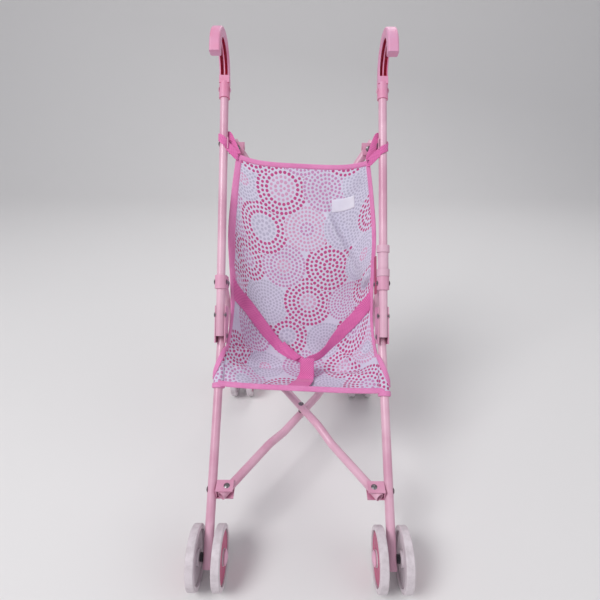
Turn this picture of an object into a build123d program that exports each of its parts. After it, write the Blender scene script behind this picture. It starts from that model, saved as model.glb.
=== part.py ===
from build123d import *
import math
import os

# Doll stroller with crossed braces. Millimetres, +Z up, front towards -Y.
# The origin is on the floor, midway between the front and rear axles and between the sides.

# --- driving sizes -------------------------------------------------------------------------
HALF_TRACK = 96.5        # centre plane of each side frame, measured from the middle
WHEELBASE = 312.0
WHEEL_R = 32.0
WHEEL_W = 9.0
TUBE_D = 10.0
TUBE_WALL = 1.0
PUSH_LEAN = 30.9         # degrees from vertical, leaning back
PUSH_FOOT_SETBACK = 156.7  # lower end of the push tube, behind the front axle
PUSH_FOOT_Z = 207.0
FOLD_TRAVEL = 100.0      # how far the left side moves towards the right one

# --- fits ----------------------------------------------------------------------------------
RUN_GAP = 0.3            # between pieces that move past each other
SNUG_GAP = 0.1           # between pieces of one side frame
PIN_GAP = 0.07           # radial, a rivet in the hole it turns in

# --- side frame ----------------------------------------------------------------------------
TUBE_R = TUBE_D / 2
NEST_GAP = 1.2           # between push tube and front leg inside the channel
LEG_PAST_AXLE = 11.0
LEG_TOP_PAST_NEST = 13.0
CHANNEL_WALL = 1.2
CHANNEL_DOWN = 8.0
CHANNEL_UP = 36.0
CHANNEL_LIP = 1.5
CHANNEL_WEB_ROOM = 4.2
PUSH_RIVET_S = 25.0
COLLAR_S = 64.0
COLLAR_LEN = 16.0
COLLAR_WALL = 2.0
EAR_THICK = 1.4
EAR_REACH = 16.0         # rear leg rivet, behind the push tube's axis
EAR_TIP_R = 5.5
REAR_LEG_PAST_RIVET = 4.0
RIVET_R = 1.75
RIVET_HEAD_R = 3.4
RIVET_HEAD_H = 1.3

# --- wheels --------------------------------------------------------------------------------
AXLE_R = 2.0
SPACER_R = 4.5
SPACER_LEN = 3.0
TREAD_ROUND = 1.5
RIM_INNER_R = 27.0
HUB_R = 8.5
FACE_RECESS = 2.6
CAP_R = 8.0
CAP_H = 3.2
CAP_EDGE = 1.2

# --- handles -------------------------------------------------------------------------------
SOCKET_S = 289.0
SOCKET_LEN = 20.0
SOCKET_WALL = 1.5
PUSH_TOP_S = 306.0
HANDLE_PIN_S = 300.0
HOOK_S = 316.0
HOOK_R = 31.0
HOOK_WIDE = 12.0
HOOK_DEEP = 11.0
HOOK_WALL = 1.7
HOOK_RIB = 1.4
HOOK_END = 8.0

# --- crossed braces ------------------------------------------------------------------------
PIVOT_INSET = 16.5       # brace rivets, inboard of the tubes they hang on
BRACE_PAST_RIVET = 10.0
BRACE_STEP = 6.6         # how far each brace is set out of the plane at the crossing
STEP_INNER = 38.0
STEP_OUTER = 66.0
STEP_ROUND = 30.0
PLATE_THICK = 1.4
PLATE_HALF = 7.0
PLATE_GAP = 0.4
BRACKET_BACK = 1.0
PLATE_PAST_RIVET = 7.0
GUIDE_SPARE = 1.5        # left between a folded brace and its guide's closing rivet
GUIDE_PAST = 3.2
LOWER_FRONT_K = 66.0     # lower brace rivet, up the front leg from its axle
LOWER_REAR_Z = 103.0
BACK_TOP_S = 232.0
BACK_TOP_BEHIND = 11.0
BACK_LOW_Z = 157.0

# --- lock ----------------------------------------------------------------------------------
SPOOL_LEN = 37.0
SPOOL_FLANGE_R = 7.6
SPOOL_BODY_R = 6.3
SPOOL_FLANGE = 8.5
SPOOL_TRAVEL = 90.0      # up the push tube, to just below the seat's top loop
WING_THICK = 1.2
WING_UP = 34.0
WING_DOWN = 12.0
WING_FAR = 12.0

# --- soft parts ----------------------------------------------------------------------------
CLOTH = 2.4
SEAT_HALF = 84.0
SEAT_ABOVE_LOOP = 10.0
CREASE_SETBACK = 205.0
CREASE_Z = 152.0
CREASE_ROUND = 26.0
HEM_K = 184.0            # front hem, up the front leg from its axle
HEM_HIGH = 16.0
LOOP_CLEAR = 6.7         # between the raised lock and the loop above it
LOOP_LEN = 14.0
LOOP_CLOTH = 1.3
STRAP_WIDE = 15.0
STRAP_THICK = 1.6
STRAP_SIDE_T = 0.52      # where a strap leaves the seat's side, along the back panel
STRAP_LOW_T = 0.88
CROTCH_T = 0.90
STRAP_NEAR_HEM = 4.0

FRONT_AXLE_Y = -WHEELBASE / 2
REAR_AXLE_Y = WHEELBASE / 2
NEST = TUBE_D + NEST_GAP
SPOOL_S = COLLAR_S + COLLAR_LEN / 2 + RUN_GAP
LOOP_S = SPOOL_S + SPOOL_LEN + SPOOL_TRAVEL + LOOP_CLEAR
SIDES = {"right": 1, "left": -1}


class Run:
    """A straight run in a side view: a start (y, z) and a lean back from the vertical."""

    def __init__(self, y, z, lean):
        self.y, self.z = y, z
        self.up = (math.sin(lean), math.cos(lean))
        self.front = (-math.cos(lean), math.sin(lean))

    def at(self, s, n=0.0):
        return (self.y + s * self.up[0] + n * self.front[0],
                self.z + s * self.up[1] + n * self.front[1])

    def point(self, x, s, n=0.0):
        y, z = self.at(s, n)
        return Vector(x, y, z)

    def plane(self, x, s=0.0, n=0.0):
        """Local x is the row's X, local z runs up the run, local y points behind it."""
        return Plane(self.point(x, s, n), x_dir=(1, 0, 0), z_dir=(0, *self.up))


def between(low, high):
    """The run from one (y, z) point to a higher one."""
    return Run(low[0], low[1], math.atan2(high[0] - low[0], high[1] - low[1]))


def span(a, b):
    return math.dist(a, b)


PUSH = Run(FRONT_AXLE_Y + PUSH_FOOT_SETBACK, PUSH_FOOT_Z, math.radians(PUSH_LEAN))
NEST_POINT = PUSH.at(0, -NEST)
FRONT_LEG = between((FRONT_AXLE_Y, WHEEL_R), NEST_POINT)
FRONT_LEG_LEN = span((FRONT_AXLE_Y, WHEEL_R), NEST_POINT)
REAR_RIVET = PUSH.at(COLLAR_S, -EAR_REACH)
REAR_LEG = between((REAR_AXLE_Y, WHEEL_R), REAR_RIVET)
REAR_LEG_LEN = span((REAR_AXLE_Y, WHEEL_R), REAR_RIVET)


def on_rear_leg(z):
    """Distance up the rear leg, from its axle, of the point at height z."""
    return (z - WHEEL_R) / REAR_LEG.up[1]


def box(x0, x1, y0, y1, z0, z1):
    made = Box(x1 - x0, y1 - y0, z1 - z0)
    return Pos((x0 + x1) / 2, (y0 + y1) / 2, (z0 + z1) / 2) * made


def rod(start, end, radius):
    along = Vector(end) - Vector(start)
    return Solid.make_cylinder(radius, along.length, Plane(Vector(start), z_dir=along))


def pipe(start, end, radius=TUBE_R, wall=TUBE_WALL):
    """A straight tube with open ends."""
    return rod(start, end, radius) - rod(start, end, radius - wall)


def cross_pin(x0, x1, y, z, radius=RIVET_R):
    return rod((x0, y, z), (x1, y, z), radius)


def domed_head(place, radius=RIVET_HEAD_R, height=RIVET_HEAD_H):
    """A rivet head: a flat underside on the plane and a domed top."""
    ball = (radius ** 2 + height ** 2) / (2 * height)
    head = Pos(0, 0, height - ball) * Sphere(ball)
    keep = Pos(0, 0, height / 2) * Cylinder(radius + 1, height)
    return place.location * (head & keep)


def side_rivet(x_mid, reach_out, reach_in, y, z, side):
    """A rivet across a side frame, with a domed head at each end."""
    x_out = x_mid + side * reach_out
    x_in = x_mid - side * reach_in
    shank = cross_pin(min(x_out, x_in), max(x_out, x_in), y, z)
    outer = domed_head(Plane(Vector(x_out, y, z), z_dir=(side, 0, 0)))
    inner = domed_head(Plane(Vector(x_in, y, z), z_dir=(-side, 0, 0)))
    return shank + outer + inner


# --- side frame pieces ---------------------------------------------------------------------
def push_tube(side):
    x = side * HALF_TRACK
    tube = pipe(PUSH.point(x, 0), PUSH.point(x, PUSH_TOP_S))
    for s in (PUSH_RIVET_S, COLLAR_S, BACK_TOP_S, HANDLE_PIN_S):
        y, z = PUSH.at(s)
        tube -= cross_pin(x - TUBE_D, x + TUBE_D, y, z)
    return tube


def front_leg(side):
    x = side * HALF_TRACK
    leg = pipe(FRONT_LEG.point(x, -LEG_PAST_AXLE),
               FRONT_LEG.point(x, FRONT_LEG_LEN + LEG_TOP_PAST_NEST))
    for k, radius in ((0, AXLE_R), (LOWER_FRONT_K, RIVET_R), (FRONT_LEG_LEN, RIVET_R)):
        y, z = FRONT_LEG.at(k)
        leg -= cross_pin(x - TUBE_D, x + TUBE_D, y, z, radius)
    return leg


def rear_leg(side):
    x = side * HALF_TRACK
    leg = pipe(REAR_LEG.point(x, -LEG_PAST_AXLE),
               REAR_LEG.point(x, REAR_LEG_LEN + REAR_LEG_PAST_RIVET))
    holes = ((0, AXLE_R), (on_rear_leg(LOWER_REAR_Z), RIVET_R),
             (on_rear_leg(BACK_LOW_Z), RIVET_R), (REAR_LEG_LEN, RIVET_R))
    for k, radius in holes:
        y, z = REAR_LEG.at(k)
        leg -= cross_pin(x - TUBE_D, x + TUBE_D, y, z, radius)
    return leg


def leg_channel(side):
    """The folded channel that holds the push tube in front and the front leg behind it."""
    half = TUBE_R + SNUG_GAP
    back = NEST + TUBE_R + CHANNEL_WEB_ROOM
    shell = box(-half - CHANNEL_WALL, half + CHANNEL_WALL, -CHANNEL_LIP, back + CHANNEL_WALL,
                -CHANNEL_DOWN, CHANNEL_UP)
    shell -= box(-half, half, -CHANNEL_LIP - 1, back, -CHANNEL_DOWN - 1, CHANNEL_UP + 1)
    x = side * HALF_TRACK
    made = PUSH.plane(x).location * shell
    for y, z in (PUSH.at(PUSH_RIVET_S), FRONT_LEG.at(FRONT_LEG_LEN)):
        made -= cross_pin(x - TUBE_D, x + TUBE_D, y, z)
    return made


def collar(side):
    """A ring round the push tube with two ears behind it for the rear leg."""
    x = side * HALF_TRACK
    inner = TUBE_R + SNUG_GAP
    ring = Cylinder(inner + COLLAR_WALL, COLLAR_LEN)
    ears = None
    for hand in (-1, 1):
        x0 = hand * (TUBE_R + SNUG_GAP)
        x1 = x0 + hand * EAR_THICK
        ear = box(min(x0, x1), max(x0, x1), 0, EAR_REACH, -COLLAR_LEN / 2, COLLAR_LEN / 2)
        tip = Plane(Vector(min(x0, x1), EAR_REACH, 0), z_dir=(1, 0, 0)).location
        ear += tip * (Pos(0, 0, EAR_THICK / 2) * Cylinder(EAR_TIP_R, EAR_THICK))
        ears = ear if ears is None else ears + ear
    made = ring + ears
    made -= Cylinder(inner, COLLAR_LEN + 2)
    made = PUSH.plane(x, COLLAR_S).location * made
    for s, n in ((COLLAR_S, 0), (COLLAR_S, -EAR_REACH)):
        y, z = PUSH.at(s, n)
        made -= cross_pin(x - TUBE_D, x + TUBE_D, y, z)
    return made


def frame_rivets(side):
    """The rivets of one side frame, as separate solids."""
    x = side * HALF_TRACK
    channel_half = TUBE_R + SNUG_GAP + CHANNEL_WALL
    ring_half = TUBE_R + SNUG_GAP + COLLAR_WALL
    ear_half = TUBE_R + SNUG_GAP + EAR_THICK
    back_half = TUBE_R + BRACKET_BACK
    lower_k = on_rear_leg(LOWER_REAR_Z)
    upper_k = on_rear_leg(BACK_LOW_Z)
    wing = WING_THICK if side > 0 else 0.0
    rivets = [
        (channel_half, channel_half, PUSH.at(PUSH_RIVET_S)),
        (channel_half, channel_half, FRONT_LEG.at(FRONT_LEG_LEN)),
        (ring_half, ring_half, PUSH.at(COLLAR_S)),
        (ear_half, ear_half + wing, REAR_RIVET),
        (TUBE_R, back_half, PUSH.at(BACK_TOP_S)),
        (TUBE_R, back_half, FRONT_LEG.at(LOWER_FRONT_K)),
        (TUBE_R, back_half, REAR_LEG.at(lower_k)),
        (TUBE_R, back_half, REAR_LEG.at(upper_k)),
    ]
    return [side_rivet(x, out, inn, y, z, side) for out, inn, (y, z) in rivets]


# --- handles -------------------------------------------------------------------------------
def handle(side):
    """A moulded hook: a socket on the tube, a hollow curved grip and a solid end."""
    x = side * HALF_TRACK
    socket = Pos(0, 0, SOCKET_LEN / 2) * Cylinder(TUBE_R + SOCKET_WALL, SOCKET_LEN)
    neck_len = HOOK_S - SOCKET_S - SOCKET_LEN + 2
    neck = box(-HOOK_WIDE / 2, HOOK_WIDE / 2, -HOOK_DEEP / 2, HOOK_DEEP / 2,
               SOCKET_LEN - 2, SOCKET_LEN - 2 + neck_len)
    bore_len = PUSH_TOP_S - SOCKET_S
    grip = PUSH.plane(x, SOCKET_S).location * (
        socket + neck - Pos(0, 0, bore_len / 2) * Cylinder(TUBE_R, bore_len))
    section = Pos(0, HOOK_R) * RectangleRounded(HOOK_WIDE, HOOK_DEEP, 2.2)
    pocket_deep = HOOK_DEEP - HOOK_WALL
    pocket_y = HOOK_R - HOOK_DEEP / 2 + pocket_deep / 2
    pocket = Pos(0, pocket_y) * Rectangle(HOOK_WIDE - 2 * HOOK_WALL, pocket_deep)
    rib = Pos(0, pocket_y + 1) * Rectangle(HOOK_RIB, pocket_deep - 2)
    curve = revolve(section - pocket + rib, Axis.X, 180)
    block = box(-HOOK_WIDE / 2, HOOK_WIDE / 2, -HOOK_R - HOOK_DEEP / 2, -HOOK_R + HOOK_DEEP / 2,
                -HOOK_END, 0)
    block = fillet(block.edges().filter_by(Axis.Z), 2.0)
    hook = PUSH.plane(x, HOOK_S, HOOK_R).location * (curve + block)
    made = grip + hook
    y, z = PUSH.at(HANDLE_PIN_S)
    return made - cross_pin(x - TUBE_D, x + TUBE_D, y, z)


def handle_pin(side):
    x = side * HALF_TRACK
    y, z = PUSH.at(HANDLE_PIN_S)
    reach = TUBE_R + SOCKET_WALL
    return side_rivet(x, reach, reach, y, z, side)


# --- wheels --------------------------------------------------------------------------------
def wheel(x, y):
    """A moulded wheel: tread, recessed faces and a hub, bored for its axle."""
    half = WHEEL_W / 2
    disc = Cylinder(WHEEL_R, WHEEL_W)
    disc = fillet(disc.edges().filter_by(GeomType.CIRCLE), TREAD_ROUND)
    for hand in (-1, 1):
        ring = Cylinder(RIM_INNER_R, FACE_RECESS) - Cylinder(HUB_R, FACE_RECESS)
        disc -= Pos(0, 0, hand * (half - FACE_RECESS / 2)) * ring
    disc -= Cylinder(AXLE_R + PIN_GAP, WHEEL_W)
    return Plane(Vector(x, y, WHEEL_R), z_dir=(1, 0, 0)).location * disc


WHEEL_OFF = TUBE_R + SPACER_LEN + RUN_GAP + WHEEL_W / 2
CAP_OFF = WHEEL_OFF + WHEEL_W / 2 + RUN_GAP


def axle(x, y):
    reach = CAP_OFF + CAP_EDGE
    return cross_pin(x - reach, x + reach, y, WHEEL_R, AXLE_R)


def spacers(x, y):
    made = []
    for hand in (-1, 1):
        start = (x + hand * TUBE_R, y, WHEEL_R)
        end = (x + hand * (TUBE_R + SPACER_LEN), y, WHEEL_R)
        made.append(rod(start, end, SPACER_R) - rod(start, end, AXLE_R))
    return made


def caps(x, y):
    """Domed push-on caps, one at each end of an axle."""
    made = []
    for hand in (-1, 1):
        place = Plane(Vector(x + hand * CAP_OFF, y, WHEEL_R), z_dir=(hand, 0, 0))
        edge = place.location * (Pos(0, 0, CAP_EDGE / 2) * Cylinder(CAP_R, CAP_EDGE))
        top = Plane(Vector(x + hand * (CAP_OFF + CAP_EDGE), y, WHEEL_R), z_dir=(hand, 0, 0))
        cap = edge + domed_head(top, CAP_R, CAP_H - CAP_EDGE)
        cap -= rod(place.origin, top.origin, AXLE_R)
        made.append(cap)
    return made


# --- crossed braces ------------------------------------------------------------------------
class Cross:
    """A pair of crossed braces: the plane they lie in, their rivets and their length."""

    def __init__(self, near, far):
        self.near, self.far = near, far
        self.reach = span(near, far)
        self.dir = ((far[0] - near[0]) / self.reach, (far[1] - near[1]) / self.reach)
        self.half_width = HALF_TRACK - PIVOT_INSET
        self.length = math.hypot(self.reach, 2 * self.half_width)
        self.angle = math.atan2(2 * self.half_width, self.reach)

    def normal(self):
        return Vector(0, -self.dir[1], self.dir[0])

    def folded_angle(self):
        """The angle of each brace from the cross's own length, with the frame closed."""
        return math.asin((2 * self.half_width - FOLD_TRAVEL) / self.length)

    def closing_inset(self):
        """The guides' closing rivets, inboard of the leg, clear of the folded braces."""
        angle = self.folded_angle()
        rear_half = (self.reach - self.length / 2 * math.cos(angle)) * math.tan(angle)
        drift = self.half_width - FOLD_TRAVEL / 2 - rear_half
        return PIVOT_INSET + drift + TUBE_R / math.cos(angle) + RIVET_R + GUIDE_SPARE

    def at_near(self, side):
        return Vector(side * self.half_width, *self.near)

    def at_far(self, side):
        return Vector(side * self.half_width, *self.far)

    def middle(self):
        return (self.at_near(1) + self.at_far(-1)) * 0.5

    def plane(self, origin):
        """Local x is the row's X, local y runs from the near rivets to the far guides."""
        return Plane(origin, x_dir=(1, 0, 0), z_dir=self.normal())

    def brace_plane(self, side):
        """Local x runs along the brace, local z out of the plane of the cross."""
        along = self.at_far(-side) - self.at_near(side)
        return Plane(self.middle(), x_dir=along, z_dir=self.normal())


LOWER = Cross(FRONT_LEG.at(LOWER_FRONT_K), REAR_LEG.at(on_rear_leg(LOWER_REAR_Z)))
BACK = Cross(PUSH.at(BACK_TOP_S, -BACK_TOP_BEHIND), REAR_LEG.at(on_rear_leg(BACK_LOW_Z)))


def brace(cross, side, out):
    """A bent tube: straight at its ends, set out of the plane where it crosses its twin."""
    half = cross.length / 2 + BRACE_PAST_RIVET
    step = out * BRACE_STEP
    route = [(-half, 0, 0), (-STEP_OUTER, 0, 0), (-STEP_INNER, 0, step),
             (STEP_INNER, 0, step), (STEP_OUTER, 0, 0), (half, 0, 0)]
    path = FilletPolyline(*route, radius=STEP_ROUND)
    start = Plane(path @ 0, z_dir=path % 0)
    tube = sweep(start * Circle(TUBE_R), path=path)
    tube -= sweep(start * Circle(TUBE_R - TUBE_WALL), path=path)
    rivet_at = cross.length / 2
    tube -= Pos(-rivet_at, 0, 0) * Cylinder(RIVET_R + PIN_GAP, 3 * TUBE_D)
    tube -= Pos(0, 0, step) * Cylinder(RIVET_R, 2 * TUBE_D)
    return cross.brace_plane(side).location * tube


def crossing_pin(cross, side, out):
    """One half of the middle rivet: shank, head outside and, on the outer brace, a spacer."""
    place = cross.brace_plane(side)
    step = out * BRACE_STEP
    gap_edge = RUN_GAP / 2
    outer = step + out * TUBE_R
    low, high = sorted((out * gap_edge, outer))
    made = Pos(0, 0, (low + high) / 2) * Cylinder(RIVET_R, high - low)
    low, high = sorted((out * gap_edge, step - out * TUBE_R))
    made += Pos(0, 0, (low + high) / 2) * Cylinder(RIVET_HEAD_R, high - low)
    made += domed_head(Plane(Vector(0, 0, outer), z_dir=(0, 0, out)))
    return place.location * made


def brace_bracket(cross, side):
    """Two plates and a back wall on the tube's inner side; the brace pivots between them."""
    outer = PIVOT_INSET - TUBE_R
    high = TUBE_R + PLATE_GAP
    inner = -PLATE_PAST_RIVET
    shell = box(inner, outer, -PLATE_HALF, PLATE_HALF, -high - PLATE_THICK, high + PLATE_THICK)
    shell -= box(inner - 1, outer - BRACKET_BACK, -PLATE_HALF - 1, PLATE_HALF + 1, -high, high)
    shell -= Cylinder(RIVET_R, 4 * TUBE_D)
    if side < 0:
        shell = mirror(shell, Plane.YZ)
    return cross.plane(cross.at_near(side)).location * shell


def top_bracket(side):
    """The back brace's bracket, with a strap that reaches forward to the push tube."""
    x = side * HALF_TRACK
    shell = brace_bracket(BACK, side)
    x0 = -side * TUBE_R
    x1 = -side * (TUBE_R + BRACKET_BACK)
    strap = box(min(x0, x1), max(x0, x1), -TUBE_R, BACK_TOP_BEHIND, -PLATE_HALF, PLATE_HALF)
    made = shell + PUSH.plane(x, BACK_TOP_S).location * strap
    y, z = PUSH.at(BACK_TOP_S)
    return made - cross_pin(x - TUBE_D, x + TUBE_D, y, z)


def lower_bracket(side):
    x = side * HALF_TRACK
    y, z = FRONT_LEG.at(LOWER_FRONT_K)
    return brace_bracket(LOWER, side) - cross_pin(x - TUBE_D, x + TUBE_D, y, z)


def plate_rivet(cross, at):
    """A rivet through both plates of a bracket or guide, with a head outside each."""
    reach = TUBE_R + PLATE_GAP + PLATE_THICK
    made = Cylinder(RIVET_R, 2 * reach)
    made += domed_head(Plane(Vector(0, 0, reach)))
    made += domed_head(Plane(Vector(0, 0, -reach), z_dir=(0, 0, -1)))
    return cross.plane(at).location * made


def brace_guide(cross, side):
    """A slotted guide on the rear leg: the brace slides through it as the frame closes."""
    outer = PIVOT_INSET - TUBE_R
    closing = PIVOT_INSET - cross.closing_inset()
    inner = closing - GUIDE_PAST
    high = TUBE_R + PLATE_GAP
    shell = box(inner, outer, -PLATE_HALF, PLATE_HALF, -high - PLATE_THICK, high + PLATE_THICK)
    shell -= box(inner - 1, outer - BRACKET_BACK, -PLATE_HALF - 1, PLATE_HALF + 1, -high, high)
    shell -= Pos(closing, 0, 0) * Cylinder(RIVET_R, 4 * TUBE_D)
    if side < 0:
        shell = mirror(shell, Plane.YZ)
    made = cross.plane(cross.at_far(side)).location * shell
    x = side * HALF_TRACK
    back = x - side * (TUBE_R + BRACKET_BACK + 1)
    return made - rod((x, *cross.far), (back, *cross.far), RIVET_R)


def brace_rivets(side):
    """The rivets the braces turn on, and the ones that close their rear guides."""
    made = []
    for cross in (LOWER, BACK):
        closing = Vector(side * (PIVOT_INSET - cross.closing_inset()), 0, 0)
        made.append(plate_rivet(cross, cross.at_near(side)))
        made.append(plate_rivet(cross, cross.at_far(side) + closing))
    return made


# --- lock ----------------------------------------------------------------------------------
def lock_spool():
    """The sliding lock: a flanged sleeve that rests on the right collar."""
    body = Pos(0, 0, SPOOL_LEN / 2) * Cylinder(SPOOL_BODY_R, SPOOL_LEN)
    body += Pos(0, 0, SPOOL_FLANGE / 2) * Cylinder(SPOOL_FLANGE_R, SPOOL_FLANGE)
    body += Pos(0, 0, SPOOL_LEN - SPOOL_FLANGE / 2) * Cylinder(SPOOL_FLANGE_R, SPOOL_FLANGE)
    body -= Pos(0, 0, SPOOL_LEN / 2) * Cylinder(TUBE_R + PIN_GAP, SPOOL_LEN + 2)
    return PUSH.plane(HALF_TRACK, SPOOL_S).location * body


def lock_wing():
    """The plate behind the spool, riveted to the collar's inner ear."""
    x1 = -(TUBE_R + SNUG_GAP + EAR_THICK)
    x0 = x1 - WING_THICK
    behind = SPOOL_FLANGE_R + RUN_GAP
    plate = box(x0, x1, behind, behind + WING_FAR, -WING_DOWN, WING_UP)
    made = PUSH.plane(HALF_TRACK, COLLAR_S).location * plate
    return made - cross_pin(HALF_TRACK - TUBE_D, HALF_TRACK, *REAR_RIVET)


# --- soft parts ----------------------------------------------------------------------------
SEAT_TOP = PUSH.at(LOOP_S + SEAT_ABOVE_LOOP)
CREASE = (FRONT_AXLE_Y + CREASE_SETBACK, CREASE_Z)
HEM = FRONT_LEG.at(HEM_K, TUBE_R + RUN_GAP + LOOP_CLOTH / 2)
BACK_PANEL = between(CREASE, SEAT_TOP)
BACK_PANEL_LEN = span(CREASE, SEAT_TOP)


def seat_cloth():
    """The sling: back panel, crease and seat panel, with a hem sleeve round each front leg."""
    route = [(0, *SEAT_TOP), (0, *CREASE), (0, *HEM)]
    line = FilletPolyline(*route, radius=CREASE_ROUND)
    section = Plane(line @ 0, x_dir=(1, 0, 0), z_dir=line % 0)
    sling = sweep(section * Rectangle(2 * SEAT_HALF, CLOTH), path=line)
    inner = TUBE_R + RUN_GAP
    band = box(-HALF_TRACK, HALF_TRACK, -inner - LOOP_CLOTH, -inner, -HEM_HIGH / 2, HEM_HIGH / 2)
    place = FRONT_LEG.plane(0, HEM_K).location
    made = sling + place * band
    for side in (-1, 1):
        sleeve = Cylinder(inner + LOOP_CLOTH, HEM_HIGH)
        made += FRONT_LEG.plane(side * HALF_TRACK, HEM_K).location * sleeve
    for side in (-1, 1):
        made -= FRONT_LEG.plane(side * HALF_TRACK, HEM_K).location * Cylinder(inner, 8 * HEM_HIGH)
    return made


def top_loop(side):
    """The webbing loop that hangs the seat's upper corner on the push tube."""
    x = side * HALF_TRACK
    ring = Cylinder(TUBE_R + RUN_GAP + LOOP_CLOTH, LOOP_LEN) - Cylinder(TUBE_R + RUN_GAP, LOOP_LEN)
    return PUSH.plane(x, LOOP_S + LOOP_LEN / 2).location * ring


def panel_plane():
    """Local x is the row's X, local y runs up the back panel, local z points to the front."""
    y, z = BACK_PANEL.at(0, CLOTH / 2 + RUN_GAP)
    return Plane(Vector(0, y, z), x_dir=(1, 0, 0), z_dir=(0, *BACK_PANEL.front))


def flat_strap(start, end):
    """A flat strap on the back panel from one (x, t) point to another."""
    a = Vector(start[0], start[1] * BACK_PANEL_LEN, STRAP_THICK / 2)
    b = Vector(end[0], end[1] * BACK_PANEL_LEN, STRAP_THICK / 2)
    along = b - a
    turn = math.degrees(math.atan2(along.Y, along.X))
    strap = Box(along.length, STRAP_WIDE, STRAP_THICK)
    middle = (a + b) * 0.5
    return panel_plane().location * (Pos(*middle) * Rot(0, 0, turn) * strap)


def side_strap(side):
    low_x = STRAP_WIDE * 0.75
    return flat_strap((side * (SEAT_HALF - STRAP_WIDE / 2), STRAP_SIDE_T),
                      (side * low_x, 1 - STRAP_LOW_T))


def crotch_strap():
    """The strap between the legs, flat on the seat panel behind the front hem."""
    low = CLOTH / 2 + RUN_GAP
    run = between(HEM, CREASE)
    reach = span(HEM, CREASE) * CROTCH_T - CREASE_ROUND / 2
    strap = box(-STRAP_WIDE / 2, STRAP_WIDE / 2, -low - STRAP_THICK, -low, STRAP_NEAR_HEM, reach)
    return run.plane(0).location * strap


# --- all pieces ----------------------------------------------------------------------------
def build():
    pieces = {}
    for name, side in SIDES.items():
        x = side * HALF_TRACK
        pieces[f"push_tube_{name}"] = push_tube(side)
        pieces[f"handle_{name}"] = handle(side)
        pieces[f"handle_pin_{name}"] = handle_pin(side)
        pieces[f"front_leg_{name}"] = front_leg(side)
        pieces[f"rear_leg_{name}"] = rear_leg(side)
        pieces[f"leg_channel_{name}"] = leg_channel(side)
        pieces[f"collar_{name}"] = collar(side)
        pieces[f"frame_rivets_{name}"] = frame_rivets(side)
        pieces[f"top_bracket_{name}"] = top_bracket(side)
        pieces[f"lower_bracket_{name}"] = lower_bracket(side)
        pieces[f"lower_guide_{name}"] = brace_guide(LOWER, side)
        pieces[f"back_guide_{name}"] = brace_guide(BACK, side)
        pieces[f"brace_rivets_{name}"] = brace_rivets(side)
        pieces[f"top_loop_{name}"] = top_loop(side)
        pieces[f"harness_strap_{name}"] = side_strap(side)
        for end, y in (("front", FRONT_AXLE_Y), ("rear", REAR_AXLE_Y)):
            pieces[f"{end}_axle_{name}"] = axle(x, y)
            for place, hand in (("outer", side), ("inner", -side)):
                pieces[f"{end}_wheel_{name}_{place}"] = wheel(x + hand * WHEEL_OFF, y)
        pieces[f"wheel_spacers_{name}"] = spacers(x, FRONT_AXLE_Y) + spacers(x, REAR_AXLE_Y)
        pieces[f"axle_caps_{name}"] = caps(x, FRONT_AXLE_Y) + caps(x, REAR_AXLE_Y)
    for name, side, out in (("right", 1, 1), ("left", -1, -1)):
        pieces[f"lower_brace_{name}"] = brace(LOWER, side, out)
        pieces[f"back_brace_{name}"] = brace(BACK, side, out)
        pieces[f"lower_pin_{name}"] = crossing_pin(LOWER, side, out)
        pieces[f"back_pin_{name}"] = crossing_pin(BACK, side, out)
    pieces["lock_spool"] = lock_spool()
    pieces["lock_wing"] = lock_wing()
    pieces["seat_cloth"] = seat_cloth()
    pieces["crotch_strap"] = crotch_strap()
    return pieces


os.makedirs("parts", exist_ok=True)
for node, shape in build().items():
    solids = []
    for item in shape if isinstance(shape, list) else [shape]:
        solids += list(item.solids())
    export_step(solids[0] if len(solids) == 1 else Compound(children=solids), f"parts/{node}.step")
    print(node, len(solids))
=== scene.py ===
"""Doll stroller: finishes, sewn parts and studio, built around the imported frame.

Lengths in the classes are millimetres. `new_object` turns them into the frame's metres.
The object's front faces -Y and +Z is up. A side view shows the Y and Z axes.
"""
from __future__ import annotations

import logging
import math
from collections.abc import Callable, Sequence
from dataclasses import dataclass, field
from enum import Enum

import bpy
import numpy as np
from mathutils import Matrix, Vector

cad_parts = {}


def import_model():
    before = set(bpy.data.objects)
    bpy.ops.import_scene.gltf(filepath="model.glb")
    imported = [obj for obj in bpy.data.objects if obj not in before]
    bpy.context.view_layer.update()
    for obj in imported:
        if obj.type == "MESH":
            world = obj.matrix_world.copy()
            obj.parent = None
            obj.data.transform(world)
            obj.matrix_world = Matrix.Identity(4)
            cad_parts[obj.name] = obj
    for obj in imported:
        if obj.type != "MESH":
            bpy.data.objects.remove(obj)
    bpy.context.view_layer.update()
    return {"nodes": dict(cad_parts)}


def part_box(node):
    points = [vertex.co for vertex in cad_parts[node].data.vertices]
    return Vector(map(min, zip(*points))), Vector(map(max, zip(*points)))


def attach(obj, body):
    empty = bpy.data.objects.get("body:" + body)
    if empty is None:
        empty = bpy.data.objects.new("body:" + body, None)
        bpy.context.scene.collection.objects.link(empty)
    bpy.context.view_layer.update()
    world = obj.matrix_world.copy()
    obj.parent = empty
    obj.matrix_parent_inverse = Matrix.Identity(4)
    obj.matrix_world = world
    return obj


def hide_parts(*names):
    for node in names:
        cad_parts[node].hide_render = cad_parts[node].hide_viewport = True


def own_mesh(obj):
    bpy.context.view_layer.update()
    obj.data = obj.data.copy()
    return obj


LOG = logging.getLogger("stroller")
MM = 0.001
Array = np.ndarray
Piece = bpy.types.Object
Material = bpy.types.Material
Row = tuple[float, ...]
Colour = Point = tuple[float, float, float]


class Side(Enum):
    """A side of the stroller, with its direction along X."""

    RIGHT = 1
    LEFT = -1

    @property
    def word(self) -> str:
        """The side's name in node and body names."""
        return self.name.lower()

    @property
    def body(self) -> str:
        """The frame body of this side."""
        return f"{self.word}_side"


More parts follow.
